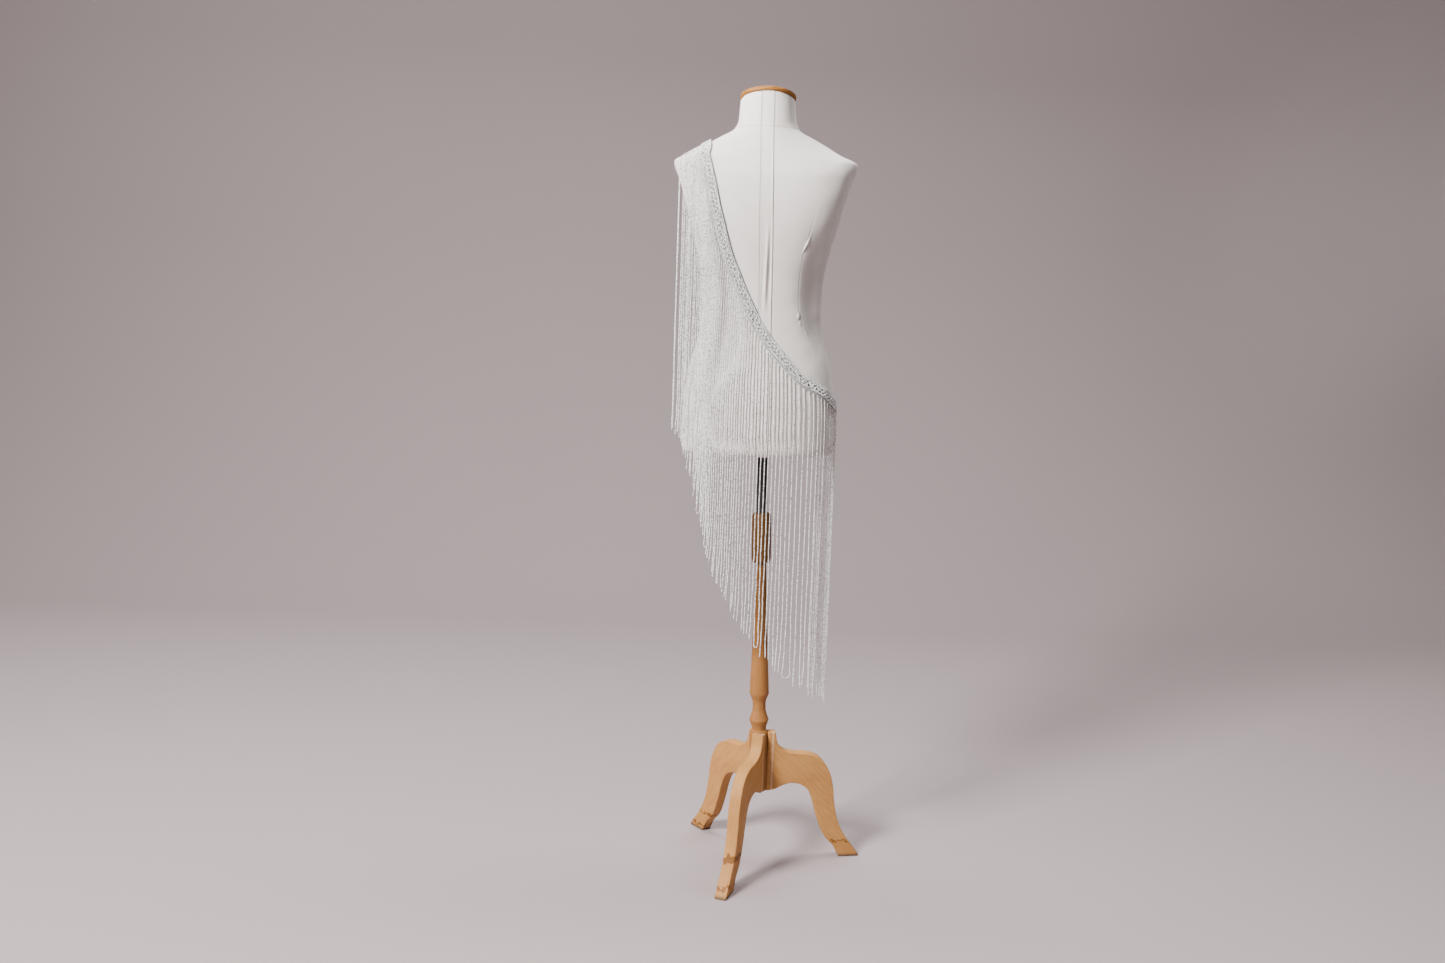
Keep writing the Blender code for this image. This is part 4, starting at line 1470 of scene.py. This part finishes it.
def turned(name: str, rows: Sequence[TurnRow], place: Matrix, sides: int,
           closed: bool = False, sideways: bool = False) -> bpy.types.Object:
    """Turn a profile into a round piece.

    Args:
        name: The piece's name.
        rows: Its profile.
        place: Its frame.
        sides: How many sides it has.
        closed: Whether the profile is a loop, for a sleeve.
        sideways: Whether the grain runs across it.

    Returns:
        The piece, with its board coordinates stored.
    """
    points, faces, index_of = [], [], []
    for row in rows:
        if row.radius < 1e-6:
            index_of.append([len(points)] * sides)
            points.append((0.0, 0.0, row.height))
            continue
        index_of.append(list(range(len(points), len(points) + sides)))
        for side in range(sides):
            turn = 2 * math.pi * side / sides
            points.append((row.radius * math.cos(turn), row.radius * math.sin(turn), row.height))
    pairs = list(zip(index_of, index_of[1:])) + ([(index_of[-1], index_of[0])] if closed else [])
    for upper, lower in pairs:
        for side in range(sides):
            after = (side + 1) % sides
            corners = (upper[side], upper[after], lower[after], lower[side])
            unique = tuple(dict.fromkeys(corners))
            if len(unique) > 2:
                faces.append(unique)
    points = np.array(points)
    piece = new_mesh_object(name, carry(points, place), faces)
    board = points[:, ::-1] if sideways else points
    store(piece.data, "board", "FLOAT_VECTOR", board)
    face_out(piece)
    shade(piece, 40)
    return piece


@dataclass
class TripodStand:
    """The rod, the sleeve, the turned post and three legs cut from board."""
    leg_thickness: float = 0.026
    leg_rounding: float = 0.0022
    rod_radius: float = 0.0119
    collar_radius: float = 0.0212
    collar_top: float = 0.7860
    collar_rounding: tuple = (0.0054, 0.012)
    grain_degrees: float = 44.0
    joint_reach: float = 0.0235
    cutter_lift: float = 0.8
    sides: int = 64

    def make_rod(self, enamel: bpy.types.Material) -> None:
        """Build the black rod, up to the board below the form."""
        bottom = POST_TOP + GAP
        rows = [TurnRow(0.0, ROD_TOP), TurnRow(self.rod_radius - 0.0006, ROD_TOP),
                TurnRow(self.rod_radius, ROD_TOP - 0.0006), TurnRow(self.rod_radius, 0.84),
                TurnRow(self.rod_radius, bottom), TurnRow(0.0, bottom)]
        rod = turned("form_rod", rows, STAND_FRAME, self.sides)
        hand_over(rod, enamel, Slot.ROD, "stand_rod")

    def make_collar(self, wood: bpy.types.Material) -> None:
        """Build the thick wooden sleeve, bored for the rod."""
        bottom, bore = POST_TOP + GAP, self.rod_radius + GAP
        rims = rim_rows(self.collar_radius, self.collar_top, bottom, *self.collar_rounding)
        rows = [TurnRow(bore, self.collar_top), *rims, TurnRow(bore, bottom)]
        collar = turned("post_sleeve", rows, STAND_FRAME, self.sides, closed=True)
        hand_over(collar, wood, Slot.WOOD, "stand_collar")

    def make_post(self, wood: bpy.types.Material) -> None:
        """Build the turned post with its hub."""
        post = turned("turned_post", rounded(POST), STAND_FRAME, self.sides)
        hand_over(post, wood, Slot.WOOD, "stand_post")

    def board_mesh(self) -> bpy.types.Mesh:
        """Cut one leg's board, on edge along +X, its long edges eased.

        Returns:
            The board's mesh.
        """
        curve = bpy.data.curves.new("leg_outline", "CURVE")
        curve.dimensions = "2D"
        curve.fill_mode = "BOTH"
        curve.extrude = self.leg_thickness / 2 - self.leg_rounding
        curve.bevel_depth = self.leg_rounding
        curve.bevel_resolution = 3
        curve.offset = -self.leg_rounding
        curve.resolution_u = 10
        spline = curve.splines.new("BEZIER")
        spline.bezier_points.add(len(LEG) - 1)
        for point, row in zip(spline.bezier_points, LEG):
            point.co = (row.reach, row.height, 0.0)
            point.handle_left_type = "VECTOR" if row.corner else "AUTO"
            point.handle_right_type = "VECTOR" if row.corner else "AUTO"
        spline.use_cyclic_u = True
        outline = new_object("leg_outline", curve)
        mesh = plain_mesh(outline)
        bpy.data.objects.remove(outline, do_unlink=True)
        bpy.data.curves.remove(curve)
        bm = bmesh.new()
        bm.from_mesh(mesh)
        bmesh.ops.remove_doubles(bm, verts=bm.verts, dist=0.00002)
        bmesh.ops.transform(bm, matrix=Matrix.Rotation(math.radians(90), 4, "X"), verts=bm.verts)
        bmesh.ops.recalc_face_normals(bm, faces=bm.faces)
        bm.to_mesh(mesh)
        bm.free()
        return mesh

    def hub_cutter(self) -> bpy.types.Object:
        """Make the round shape that gives each leg its seat against the hub."""
        bm = bmesh.new()
        bmesh.ops.create_cone(bm, cap_ends=True, segments=96, radius1=HUB_RADIUS + GAP,
                              radius2=HUB_RADIUS + GAP, depth=HUB_TOP)
        bmesh.ops.translate(bm, verts=bm.verts, vec=(0.0, 0.0, HUB_TOP * self.cutter_lift))
        bmesh.ops.transform(bm, matrix=STAND_FRAME, verts=bm.verts)
        mesh = bpy.data.meshes.new("hub_cutter")
        bm.to_mesh(mesh)
        bm.free()
        return new_object("hub_cutter", mesh)

    def make_legs(self, finish: WoodFinish) -> None:
        """Place three boards against the hub, each with its own marks.

        Args:
            finish: The wood that they share.
        """
        cutter = self.hub_cutter()
        board = self.board_mesh()
        for place in LegPlace:
            node, azimuth, marks = place.value
            turn = Matrix.Rotation(math.radians(azimuth - 90), 4, "Z")
            board_frame = Matrix.Translation((*POLE_FOOT, 0.0)) @ turn
            mesh = board.copy()
            mesh.transform(board_frame)
            leg = new_object(node + "_board", mesh)
            cut = leg.modifiers.new("hub_seat", "BOOLEAN")
            cut.operation = "DIFFERENCE"
            cut.solver = "EXACT"
            cut.object = cutter
            seated = plain_mesh(leg)
            leg.modifiers.clear()
            leg.data = seated
            points = np.empty(len(seated.vertices) * 3)
            seated.vertices.foreach_get("co", points)
            own = carry(points.reshape(-1, 3), board_frame.inverted())
            store(seated, "board", "FLOAT_VECTOR", own)
            face_out(leg)
            shade(leg, 30)
            seated.materials.clear()
            wood = replace(finish, name=node + "_wood", marks=marks, joint_reach=self.joint_reach,
                           grain_turn=math.radians(self.grain_degrees))
            hand_over(leg, wood.make(), Slot.WOOD, node)
        bpy.data.objects.remove(cutter, do_unlink=True)
        bpy.data.meshes.remove(board)


class BeadThreader:
    """A node tree that threads beads along the loose edges of a mesh."""

    def __init__(self) -> None:
        """Build the tree once, with named inputs for its sizes."""
        self.tree = bpy.data.node_groups.new("thread_beads", "GeometryNodeTree")
        face = self.tree.interface
        face.new_socket("Line", in_out="INPUT", socket_type="NodeSocketGeometry")
        face.new_socket("Beads", in_out="OUTPUT", socket_type="NodeSocketGeometry")
        self.keys = {}
        for name, kind in (("Pitch", "NodeSocketFloat"), ("Radius", "NodeSocketFloat"),
                           ("Half length", "NodeSocketFloat"), ("Spread", "NodeSocketFloat"),
                           ("Tilt", "NodeSocketFloat"), ("Seed", "NodeSocketInt"),
                           ("Finish", "NodeSocketMaterial")):
            self.keys[name] = face.new_socket(name, in_out="INPUT", socket_type=kind).identifier
        given = self.add("NodeGroupInput").outputs
        curve = self.add("GeometryNodeMeshToCurve", {}, {"Mesh": given["Line"]})
        even = self.add("GeometryNodeResampleCurve", {"mode": "LENGTH"},
                        {"Curve": curve.outputs[0], "Length": given["Pitch"]})
        ball = self.add("GeometryNodeMeshUVSphere", {}, {"Segments": 6, "Rings": 3, "Radius": 1.0})
        size = self.add("ShaderNodeCombineXYZ", {},
                        {"X": given["Radius"], "Y": given["Radius"], "Z": given["Half length"]})
        bead = self.add("GeometryNodeTransform", {}, {"Geometry": ball.outputs["Mesh"],
                                                      "Scale": size.outputs[0]})
        smooth = self.add("GeometryNodeSetShadeSmooth", {}, {"Geometry": bead.outputs[0]})
        tangent = self.add("GeometryNodeInputTangent")
        turn = self.add("FunctionNodeAlignRotationToVector", {"axis": "Z"},
                        {"Vector": tangent.outputs[0]})
        low = self.add("ShaderNodeMath", {"operation": "SUBTRACT"}, {0: 1.0, 1: given["Spread"]})
        high = self.add("ShaderNodeMath", {"operation": "ADD"}, {0: 1.0, 1: given["Spread"]})
        scale = self.add("FunctionNodeRandomValue", {"data_type": "FLOAT"},
                         {2: low.outputs[0], 3: high.outputs[0], "Seed": given["Seed"]})
        back = self.add("ShaderNodeMath", {"operation": "MULTIPLY"}, {0: given["Tilt"], 1: -1.0})
        lean = self.add("FunctionNodeRandomValue", {"data_type": "FLOAT_VECTOR"},
                        {0: back.outputs[0], 1: given["Tilt"], "Seed": given["Seed"]})
        euler = self.add("FunctionNodeEulerToRotation", {}, {0: lean.outputs[0]})
        leant = self.add("FunctionNodeRotateRotation", {"rotation_space": "LOCAL"},
                         {"Rotation": turn.outputs[0], "Rotate By": euler.outputs[0]})
        placed = self.add("GeometryNodeInstanceOnPoints", {},
                          {"Points": even.outputs[0], "Instance": smooth.outputs[0],
                           "Rotation": leant.outputs[0], "Scale": scale.outputs[1]})
        after = self.add("ShaderNodeMath", {"operation": "ADD"}, {0: given["Seed"], 1: 7.0})
        tint = self.add("FunctionNodeRandomValue", {"data_type": "FLOAT"},
                        {2: 0.0, 3: 1.0, "Seed": after.outputs[0]})
        marked = self.add("GeometryNodeStoreNamedAttribute", {"data_type": "FLOAT", "domain": "INSTANCE"},
                          {"Geometry": placed.outputs[0], "Name": "tint", "Value": tint.outputs[1]})
        real = self.add("GeometryNodeRealizeInstances", {}, {"Geometry": marked.outputs[0]})
        dressed = self.add("GeometryNodeSetMaterial", {}, {"Geometry": real.outputs[0],
                                                           "Material": given["Finish"]})
        self.add("NodeGroupOutput", {}, {"Beads": dressed.outputs[0]})

    def add(self, kind: str, settings: Optional[dict] = None,
            inputs: Optional[dict] = None) -> bpy.types.Node:
        """Add a node, set it and link it.

        Args:
            kind: The node's type.
            settings: Its settings.
            inputs: Values or output sockets, by name or number.

        Returns:
            The node.
        """
        node = self.tree.nodes.new(kind)
        for key, value in (settings or {}).items():
            setattr(node, key, value)
        for key, value in (inputs or {}).items():
            if isinstance(value, bpy.types.NodeSocket):
                self.tree.links.new(value, node.inputs[key])
            else:
                node.inputs[key].default_value = value
        return node

    def thread(self, name: str, lines: Sequence[np.ndarray], pitch: float, radius: float,
               half_length: float, spread: float, tilt: float, seed: int,
               finish: bpy.types.Material) -> bpy.types.Object:
        """Thread beads along some lines.

        Args:
            name: The piece's name.
            lines: Each line's points in the world.
            pitch: The distance from bead to bead.
            radius: A bead's radius.
            half_length: Half its length along the thread.
            spread: How much its size varies.
            tilt: How far it leans off the thread, in radians.
            seed: The seed of what is random.
            finish: Its material.

        Returns:
            The piece, as a plain mesh.
        """
        points = np.vstack(lines)
        edges, start = [], 0
        for line in lines:
            edges += [(start + index, start + index + 1) for index in range(len(line) - 1)]
            start += len(line)
        piece = new_mesh_object(name, points, (), edges)
        modifier = piece.modifiers.new("thread", "NODES")
        modifier.node_group = self.tree
        values = {"Pitch": pitch, "Radius": radius, "Half length": half_length, "Spread": spread,
                  "Tilt": tilt, "Seed": seed, "Finish": finish}
        for key, value in values.items():
            modifier[self.keys[key]] = value
        mesh = plain_mesh(piece)
        piece.modifiers.clear()
        piece.data = mesh
        mesh.name = name
        return piece


@dataclass
class Heading:
    """The braided heading: a woven tape covered with looped and scattered beads."""
    line: TrimLine
    threader: BeadThreader
    # The dark tape reaches a little beyond the edge beads, as a painted shadow line along the heading's
    # edge.
    width: float = 0.0212
    lift: float = 0.0014
    thickness: float = 0.0012
    bead_radius: float = 0.00106
    bead_pitch: float = 0.0019
    stations: int = 229
    rows: int = 9
    step: float = 0.0008
    end_inset: float = 0.001
    scroll_pitch: float = 0.0098
    scroll_middle: float = 0.0036
    scroll_width: float = 0.0036
    scroll_length: float = 0.0028
    threads: tuple = (-0.0050, 0.0000, 0.0050)
    thread_wander: float = 0.0024
    edge_inset: float = 0.0016

    def make_tape(self) -> bpy.types.Object:
        """Build the tape, one thin closed sheet that follows the form.

        Returns:
            The tape.
        """
        stations, count = self.stations, self.rows
        lengths = np.linspace(0.0, TrimLine.LENGTH, stations)
        across = np.linspace(-self.width / 2, self.width / 2, count)
        layers = []
        for lift in (self.lift, self.lift + self.thickness):
            rows = [self.line.spot(lengths, np.full(stations, offset), np.full(stations, lift))
                    for offset in across]
            layers.append(np.stack(rows, axis=1))
        points = np.concatenate([layer.reshape(-1, 3) for layer in layers])
        faces, shift = [], stations * count
        for row in range(stations - 1):
            for column in range(count - 1):
                corner = row * count + column
                low = (corner, corner + 1, corner + count + 1, corner + count)
                faces.append(low)
                faces.append(tuple(shift + index for index in reversed(low)))
            for edge in (0, count - 1):
                corner = row * count + edge
                faces.append((corner, corner + count, shift + corner + count, shift + corner))
        for end in (0, stations - 1):
            for column in range(count - 1):
                corner = end * count + column
                faces.append((corner, corner + 1, shift + corner + 1, shift + corner))
        tape = new_mesh_object("heading_tape", points, faces)
        flat = np.stack(np.meshgrid(lengths, across, indexing="ij"), axis=-1).reshape(-1, 2)
        store_uv(tape.data, "cut", np.vstack((flat, flat)))
        face_out(tape)
        shade(tape, 50)
        return tape

    @staticmethod
    def drawn(chance: random.Random, lengths: np.ndarray, step: float) -> np.ndarray:
        """Draw a wandering value from -1 to 1 along the heading.

        Args:
            chance: The source of what is random.
            lengths: Where it is read.
            step: The distance between its drawn values.

        Returns:
            The value at each length.
        """
        knots = np.arange(lengths[0], lengths[-1] + 2 * step, step)
        return np.interp(lengths, knots, [chance.uniform(-1, 1) for _ in knots])

    def bead_lines(self) -> list:
        """Lay the bead threads out: two looping scrolls, wandering threads and both edges.

        Returns:
            One array of points per thread.
        """
        chance = random.Random(5)
        top = self.lift + self.thickness
        lengths = np.arange(self.end_inset, TrimLine.LENGTH - self.end_inset, self.step)
        ends = (self.step, TrimLine.LENGTH - self.step)
        lines = []
        for side in (-1.0, 1.0):
            drift = np.cumsum(self.drawn(chance, lengths, 0.006)) * 0.010
            turn = lengths * 2 * math.pi / self.scroll_pitch + drift
            size = 1.0 + 0.30 * self.drawn(chance, lengths, 0.007)
            along = lengths + self.scroll_length * size * np.sin(turn * side)
            along += 0.0010 * self.drawn(chance, lengths, 0.003)
            across = side * self.scroll_middle + self.scroll_width * size * np.cos(turn)
            across += 0.0007 * self.drawn(chance, lengths, 0.003)
            lift = top + self.bead_radius * (1.4 + 0.6 * self.drawn(chance, lengths, 0.004))
            lines.append(self.line.spot(np.clip(along, *ends), across, lift))
        for middle in self.threads:
            across = middle + self.thread_wander * self.drawn(chance, lengths, 0.0050)
            lift = top + self.bead_radius * (1.6 + 0.9 * self.drawn(chance, lengths, 0.0035))
            lines.append(self.line.spot(lengths, across, lift))
        edge = self.width / 2 - self.edge_inset
        for side in (-1.0, 1.0):
            across = side * (edge + 0.0005 * self.drawn(chance, lengths, 0.006))
            lift = top + self.bead_radius * (1.5 + 0.3 * self.drawn(chance, lengths, 0.004))
            lines.append(self.line.spot(lengths, across, lift))
        return lines

    def make(self, woven: bpy.types.Material, glass: bpy.types.Material) -> None:
        tape = self.make_tape()
        beads = self.threader.thread("heading_beads", self.bead_lines(), self.bead_pitch, self.bead_radius,
                                     self.bead_pitch * 0.50, 0.14, 0.5, 3, glass)
        hand_over(tape, woven, Slot.HEADING, "heading_band")
        hand_over(beads, glass, Slot.HEADING, "heading_band")


@dataclass
class Fringe:
    """The narrow footing and every bead strand that hangs from it."""
    line: TrimLine
    shape: FormShape
    threader: BeadThreader
    pitch: float = 0.0112
    length: float = 0.628
    length_spread: float = 0.007
    layer: float = 0.0008
    clearance: float = 0.0004
    thickness: float = 0.0026
    band_half: float = 0.0110
    footing: float = 0.0026
    lift: float = 0.0014
    root_bend: float = 0.0022
    bead_pitch: float = 0.0022
    bead_radius: float = 0.00128
    groups: int = 4
    loops: tuple = (20, 25, 31, 38, 52, 60, 67)
    loop_height: float = 0.008
    loop_drop: float = 0.009
    waves: tuple = ((2.3, 0.0008), (7.0, 0.0004), (19.0, 0.0003))
    flick: tuple = (-0.0030, 0.0060)
    footing_stations: int = 400
    footing_sides: int = 8
    footing_twist: float = 700.0
    footing_share: float = 0.96
    root_inset: float = 0.0004
    inset: float = 0.001

    def outward_reach(self, start: np.ndarray, fall: np.ndarray, depths: np.ndarray,
                      clearance: float) -> np.ndarray:
        """Work out how far out a strand must pass to clear the form.

        Args:
            start: The strand's start.
            fall: The level direction that it falls towards.
            depths: Depths below its start.
            clearance: How far off the form it stays.

        Returns:
            The reach at each depth.
        """
        trials = np.linspace(-0.10, 0.22, 321)
        points = start + fall * trials[None, :, None] + DOWN * depths[:, None, None]
        local = carry(points, FORM_FRAME.inverted())
        room = self.shape.room(local) - clearance
        room[(local[..., 2] < -clearance) | (local[..., 2] > FORM_HEIGHT)] = 1.0
        inside = room <= 0
        reach = np.full(len(depths), -1.0)
        for row in np.flatnonzero(inside.any(axis=1)):
            last = np.flatnonzero(inside[row])[-1]
            rise = room[row, last + 1] - room[row, last]
            reach[row] = trials[last] - room[row, last] / rise * (trials[1] - trials[0])
        return reach

    @staticmethod
    def taut(depths: np.ndarray, reach: np.ndarray) -> np.ndarray:
        """Draw the tight line over the form's bulges, then plumb from the furthest one.

        Args:
            depths: How far below the root each step is.
            reach: How far out the form's surface is there.

        Returns:
            How far out the strand is at each step.
        """
        profile = np.zeros(len(depths))
        here = 0
        while here < len(depths) - 1:
            slopes = (reach[here + 1:] - profile[here]) / (depths[here + 1:] - depths[here])
            best = int(np.argmax(slopes))
            if slopes[best] <= 0:
                profile[here + 1:] = profile[here]
                break
            there = here + 1 + best
            run = np.arange(here + 1, there + 1)
            profile[run] = profile[here] + slopes[best] * (depths[run] - depths[here])
            here = there
        return profile

    @staticmethod
    def cut(points: np.ndarray, length: float) -> np.ndarray:
        """Cut a line off at a length."""
        steps = np.linalg.norm(np.diff(points, axis=0), axis=1)
        walked = np.concatenate(([0.0], np.cumsum(steps)))
        keep = walked < length
        end = np.array([[np.interp(length, walked, points[:, axis]) for axis in range(3)]])
        return np.vstack((points[keep], end))

    def strand(self, index: int, middle: float, root: np.ndarray, side: np.ndarray,
               length: float, chance: random.Random) -> np.ndarray:
        """Hang one strand.

        Args:
            index: Its number along the trim.
            middle: How far along the trim it is sewn.
            root: Where it starts.
            side: The way that it leaves the footing.
            length: Its length.
            chance: The source of its small waves.

        Returns:
            Its line.
        """
        bend = root + side * self.root_bend + DOWN * self.root_bend / 2
        fall = self.line.fall(middle)
        depths = np.concatenate((np.arange(0.0, 0.08, 0.002),
                                 np.arange(0.08, length + 0.06, 0.005)))
        clearance = self.thickness * 0.75 + self.clearance + self.layer * (index % 2)
        profile = self.taut(depths, self.outward_reach(bend, fall, depths, clearance))
        points = bend + fall * profile[:, None] + DOWN * depths[:, None]
        free = np.clip(depths / length, 0.0, 1.0)
        left = np.array((fall[1], -fall[0], 0.0))
        wave = np.zeros(len(depths))
        bulge = np.zeros(len(depths))
        for count, size in self.waves:
            pace = count * chance.uniform(0.75, 1.3) * 2 * math.pi
            wave += size * np.sin(free * pace + chance.uniform(0, 6.28)) * free ** 1.2
            bulge += 0.6 * size * (1 + np.sin(free * pace + chance.uniform(0, 6.28))) * free ** 1.5
        wave += chance.uniform(*self.flick) * free ** 16
        points = points + left * wave[:, None] + fall * bulge[:, None]
        return self.cut(np.vstack((root[None], points)), length)

    def make_footing(self, woven: bpy.types.Material) -> None:
        """Build the narrow twisted footing that the strands are sewn to.

        Args:
            woven: Its finish.
        """
        stations, sides = self.footing_stations, self.footing_sides
        lengths = np.linspace(self.inset, TrimLine.LENGTH - self.inset, stations)
        half = self.footing / 2
        radius = half * self.footing_share
        rows = []
        for side in range(sides):
            turn = 2 * math.pi * side / sides + lengths * self.footing_twist
            across = self.band_half + half + radius * np.cos(turn)
            lift = self.lift + half + radius * np.sin(turn) * (1.0 + 0.06 * np.sin(3 * turn))
            rows.append(self.line.spot(lengths, across, lift))
        faces = ring_faces(stations, sides)
        faces.append(tuple(reversed(range(sides))))
        faces.append(tuple((stations - 1) * sides + side for side in range(sides)))
        footing = new_mesh_object("fringe_footing", np.stack(rows, axis=1).reshape(-1, 3), faces)
        flat = np.stack(np.meshgrid(lengths, np.arange(sides) * 0.001, indexing="ij"), axis=-1)
        store_uv(footing.data, "cut", flat.reshape(-1, 2))
        face_out(footing)
        shade(footing, 60)
        hand_over(footing, woven, Slot.STRANDS, "bead_fringe")

    def strand_lines(self) -> list:
        """Hang every strand, and join a few neighbours' ends into loops.

        Returns:
            One array of points per strand, or per looped pair.
        """
        lengths_chance, wave_chance = random.Random(11), random.Random(23)
        count = round(TrimLine.LENGTH / self.pitch)
        middles = np.array([self.pitch * (index + 0.5) for index in range(count)])
        far = self.band_half + self.footing
        roots = self.line.spot(middles, np.full(count, far - self.root_inset),
                               np.full(count, self.lift + self.footing / 2))
        sides = self.line.frames(middles)[3] @ np.array(FORM_FRAME)[:3, :3].T
        lines = []
        for index in range(count):
            length = self.length + lengths_chance.uniform(-1, 1) * self.length_spread
            lines.append(self.strand(index, middles[index], roots[index], sides[index], length,
                                     wave_chance))
        for index in reversed(self.loops):
            lines[index:index + 2] = [self.loop(*lines[index:index + 2])]
        return lines

    def loop(self, first: np.ndarray, second: np.ndarray) -> np.ndarray:
        """Join the low ends of two strands with a round turn of beads."""
        low = min(first[-1][2], second[-1][2]) + self.loop_height
        first, second = first[first[:, 2] > low], second[second[:, 2] > low]
        middle = (first[-1] + second[-1]) / 2
        across = (first[-1] - second[-1]) / 2
        turn = np.linspace(0.0, math.pi, 9)[1:-1, None]
        bottom = middle + np.cos(turn) * across + np.sin(turn) * DOWN * self.loop_drop
        return np.vstack((first, bottom, second[::-1]))

    def make(self, woven: bpy.types.Material, glass: bpy.types.Material) -> None:
        """Build the footing and the strands, a few pieces of strands side by side."""
        self.make_footing(woven)
        lines = self.strand_lines()
        size = math.ceil(len(lines) / self.groups)
        for group in range(self.groups):
            chosen = lines[group * size:(group + 1) * size]
            piece = self.threader.thread("strands_%d" % (group + 1), chosen, self.bead_pitch,
                                         self.bead_radius, self.bead_pitch * 0.58, 0.07, 0.20,
                                         40 + group, glass)
            hand_over(piece, glass, Slot.STRANDS, "bead_fringe")


@dataclass
class Studio:
    """The seamless paper, the soft lights and the camera at the photograph's place."""
    camera_place: tuple = (-0.1073, -2.6026, 1.1627)
    pitch: float = math.radians(6.823)
    roll: float = math.radians(1.978)
    focal_pixels: float = 1204.0
    image_width: float = 1445.0
    wall_distance: float = 3.9
    cove_radius: float = 1.7
    half_width: float = 7.0
    floor_steps: tuple = (-6.0, -3.0, -1.5, 0.0, 0.8)
    wall_steps: tuple = (2.5, 6.0)
    cove_steps: int = 32
    world_colour: tuple = (1.0, 0.95, 0.91, 1.0)
    world_strength: float = 0.050

    def make_paper(self) -> None:
        """Build the floor and wall as one curved sheet of paper."""
        profile = [(distance, 0.0) for distance in self.floor_steps]
        bend, radius = self.wall_distance - self.cove_radius, self.cove_radius
        for step in range(self.cove_steps + 1):
            turn = math.pi / 2 * step / self.cove_steps
            profile.append((bend + radius * math.sin(turn), radius * (1 - math.cos(turn))))
        profile += [(self.wall_distance, height) for height in self.wall_steps]
        points = [(x, y, z) for y, z in profile for x in (-self.half_width, self.half_width)]
        faces = [(2 * i, 2 * i + 1, 2 * i + 3, 2 * i + 2) for i in range(len(profile) - 1)]
        paper = new_mesh_object("seamless_paper", np.array(points), faces)
        paper.data.shade_smooth()
        paper.data.materials.append(PaperFinish().make())

    @staticmethod
    def add_light(lamp: Lamp) -> None:
        """Add one soft area light."""
        data = bpy.data.lights.new(lamp.name, "AREA")
        data.spread = math.radians(lamp.spread)
        data.shape = "RECTANGLE"
        data.size, data.size_y = lamp.size
        data.energy = lamp.watts
        data.color = lamp.colour
        light = new_object(lamp.name, data)
        light.location = lamp.place
        beam = Vector(lamp.aim) - Vector(lamp.place)
        light.rotation_euler = beam.to_track_quat("-Z", "Y").to_euler()

    def make_lights(self) -> None:
        """Set a key on the left, a weak fill, lamps for shoulder, floor and paper, and a dim room."""
        for lamp in LAMPS:
            self.add_light(lamp)
        world = bpy.data.worlds.new("studio")
        world.use_nodes = True
        background = world.node_tree.nodes["Background"]
        background.inputs["Color"].default_value = self.world_colour
        background.inputs["Strength"].default_value = self.world_strength
        bpy.context.scene.world = world

    def make_camera(self) -> None:
        """Place the camera as the photograph's was, tipped down and turned a little."""
        data = bpy.data.cameras.new("camera")
        data.sensor_fit = "HORIZONTAL"
        data.sensor_width = 36.0
        data.lens = self.focal_pixels / self.image_width * data.sensor_width
        data.clip_end = 50.0
        right = Vector((1.0, 0.0, 0.0))
        forward = Vector((0.0, math.cos(self.pitch), -math.sin(self.pitch)))
        up = Vector((0.0, math.sin(self.pitch), math.cos(self.pitch)))
        x_axis = right * math.cos(self.roll) + up * math.sin(self.roll)
        y_axis = up * math.cos(self.roll) - right * math.sin(self.roll)
        place = Vector(self.camera_place) + Vector((*POLE_FOOT, 0.0))
        camera = new_object("camera", data)
        camera.matrix_world = Matrix(((x_axis.x, y_axis.x, -forward.x, place.x),
                                      (x_axis.y, y_axis.y, -forward.y, place.y),
                                      (x_axis.z, y_axis.z, -forward.z, place.z),
                                      (0.0, 0.0, 0.0, 1.0)))
        bpy.context.scene.camera = camera


def main() -> None:
    """Build the studio, the form and its stand, and then the trim."""
    logging.basicConfig(level=logging.INFO, format="%(name)s: %(message)s")
    studio = Studio()
    studio.make_camera()
    studio.make_paper()
    studio.make_lights()
    shape = FormShape()
    padded_form = PaddedForm(shape)
    padded_form.make_cover(CottonFinish().make())
    padded_form.make_board(BoardFinish().make())
    padded_form.make_cap(CAP_WOOD.make())
    stand = TripodStand()
    stand.make_rod(EnamelFinish().make())
    stand.make_collar(SHADED_SLEEVE_WOOD.make())
    stand.make_post(POST_WOOD.make())
    stand.make_legs(WoodFinish())
    line = TrimLine(shape)
    threader = BeadThreader()
    Heading(line, threader).make(TapeFinish().make(), HEADING_GLASS.make())
    Fringe(line, shape, threader).make(FOOTING_CORD.make(), BeadFinish().make())


if __name__ == "__main__":
    main()
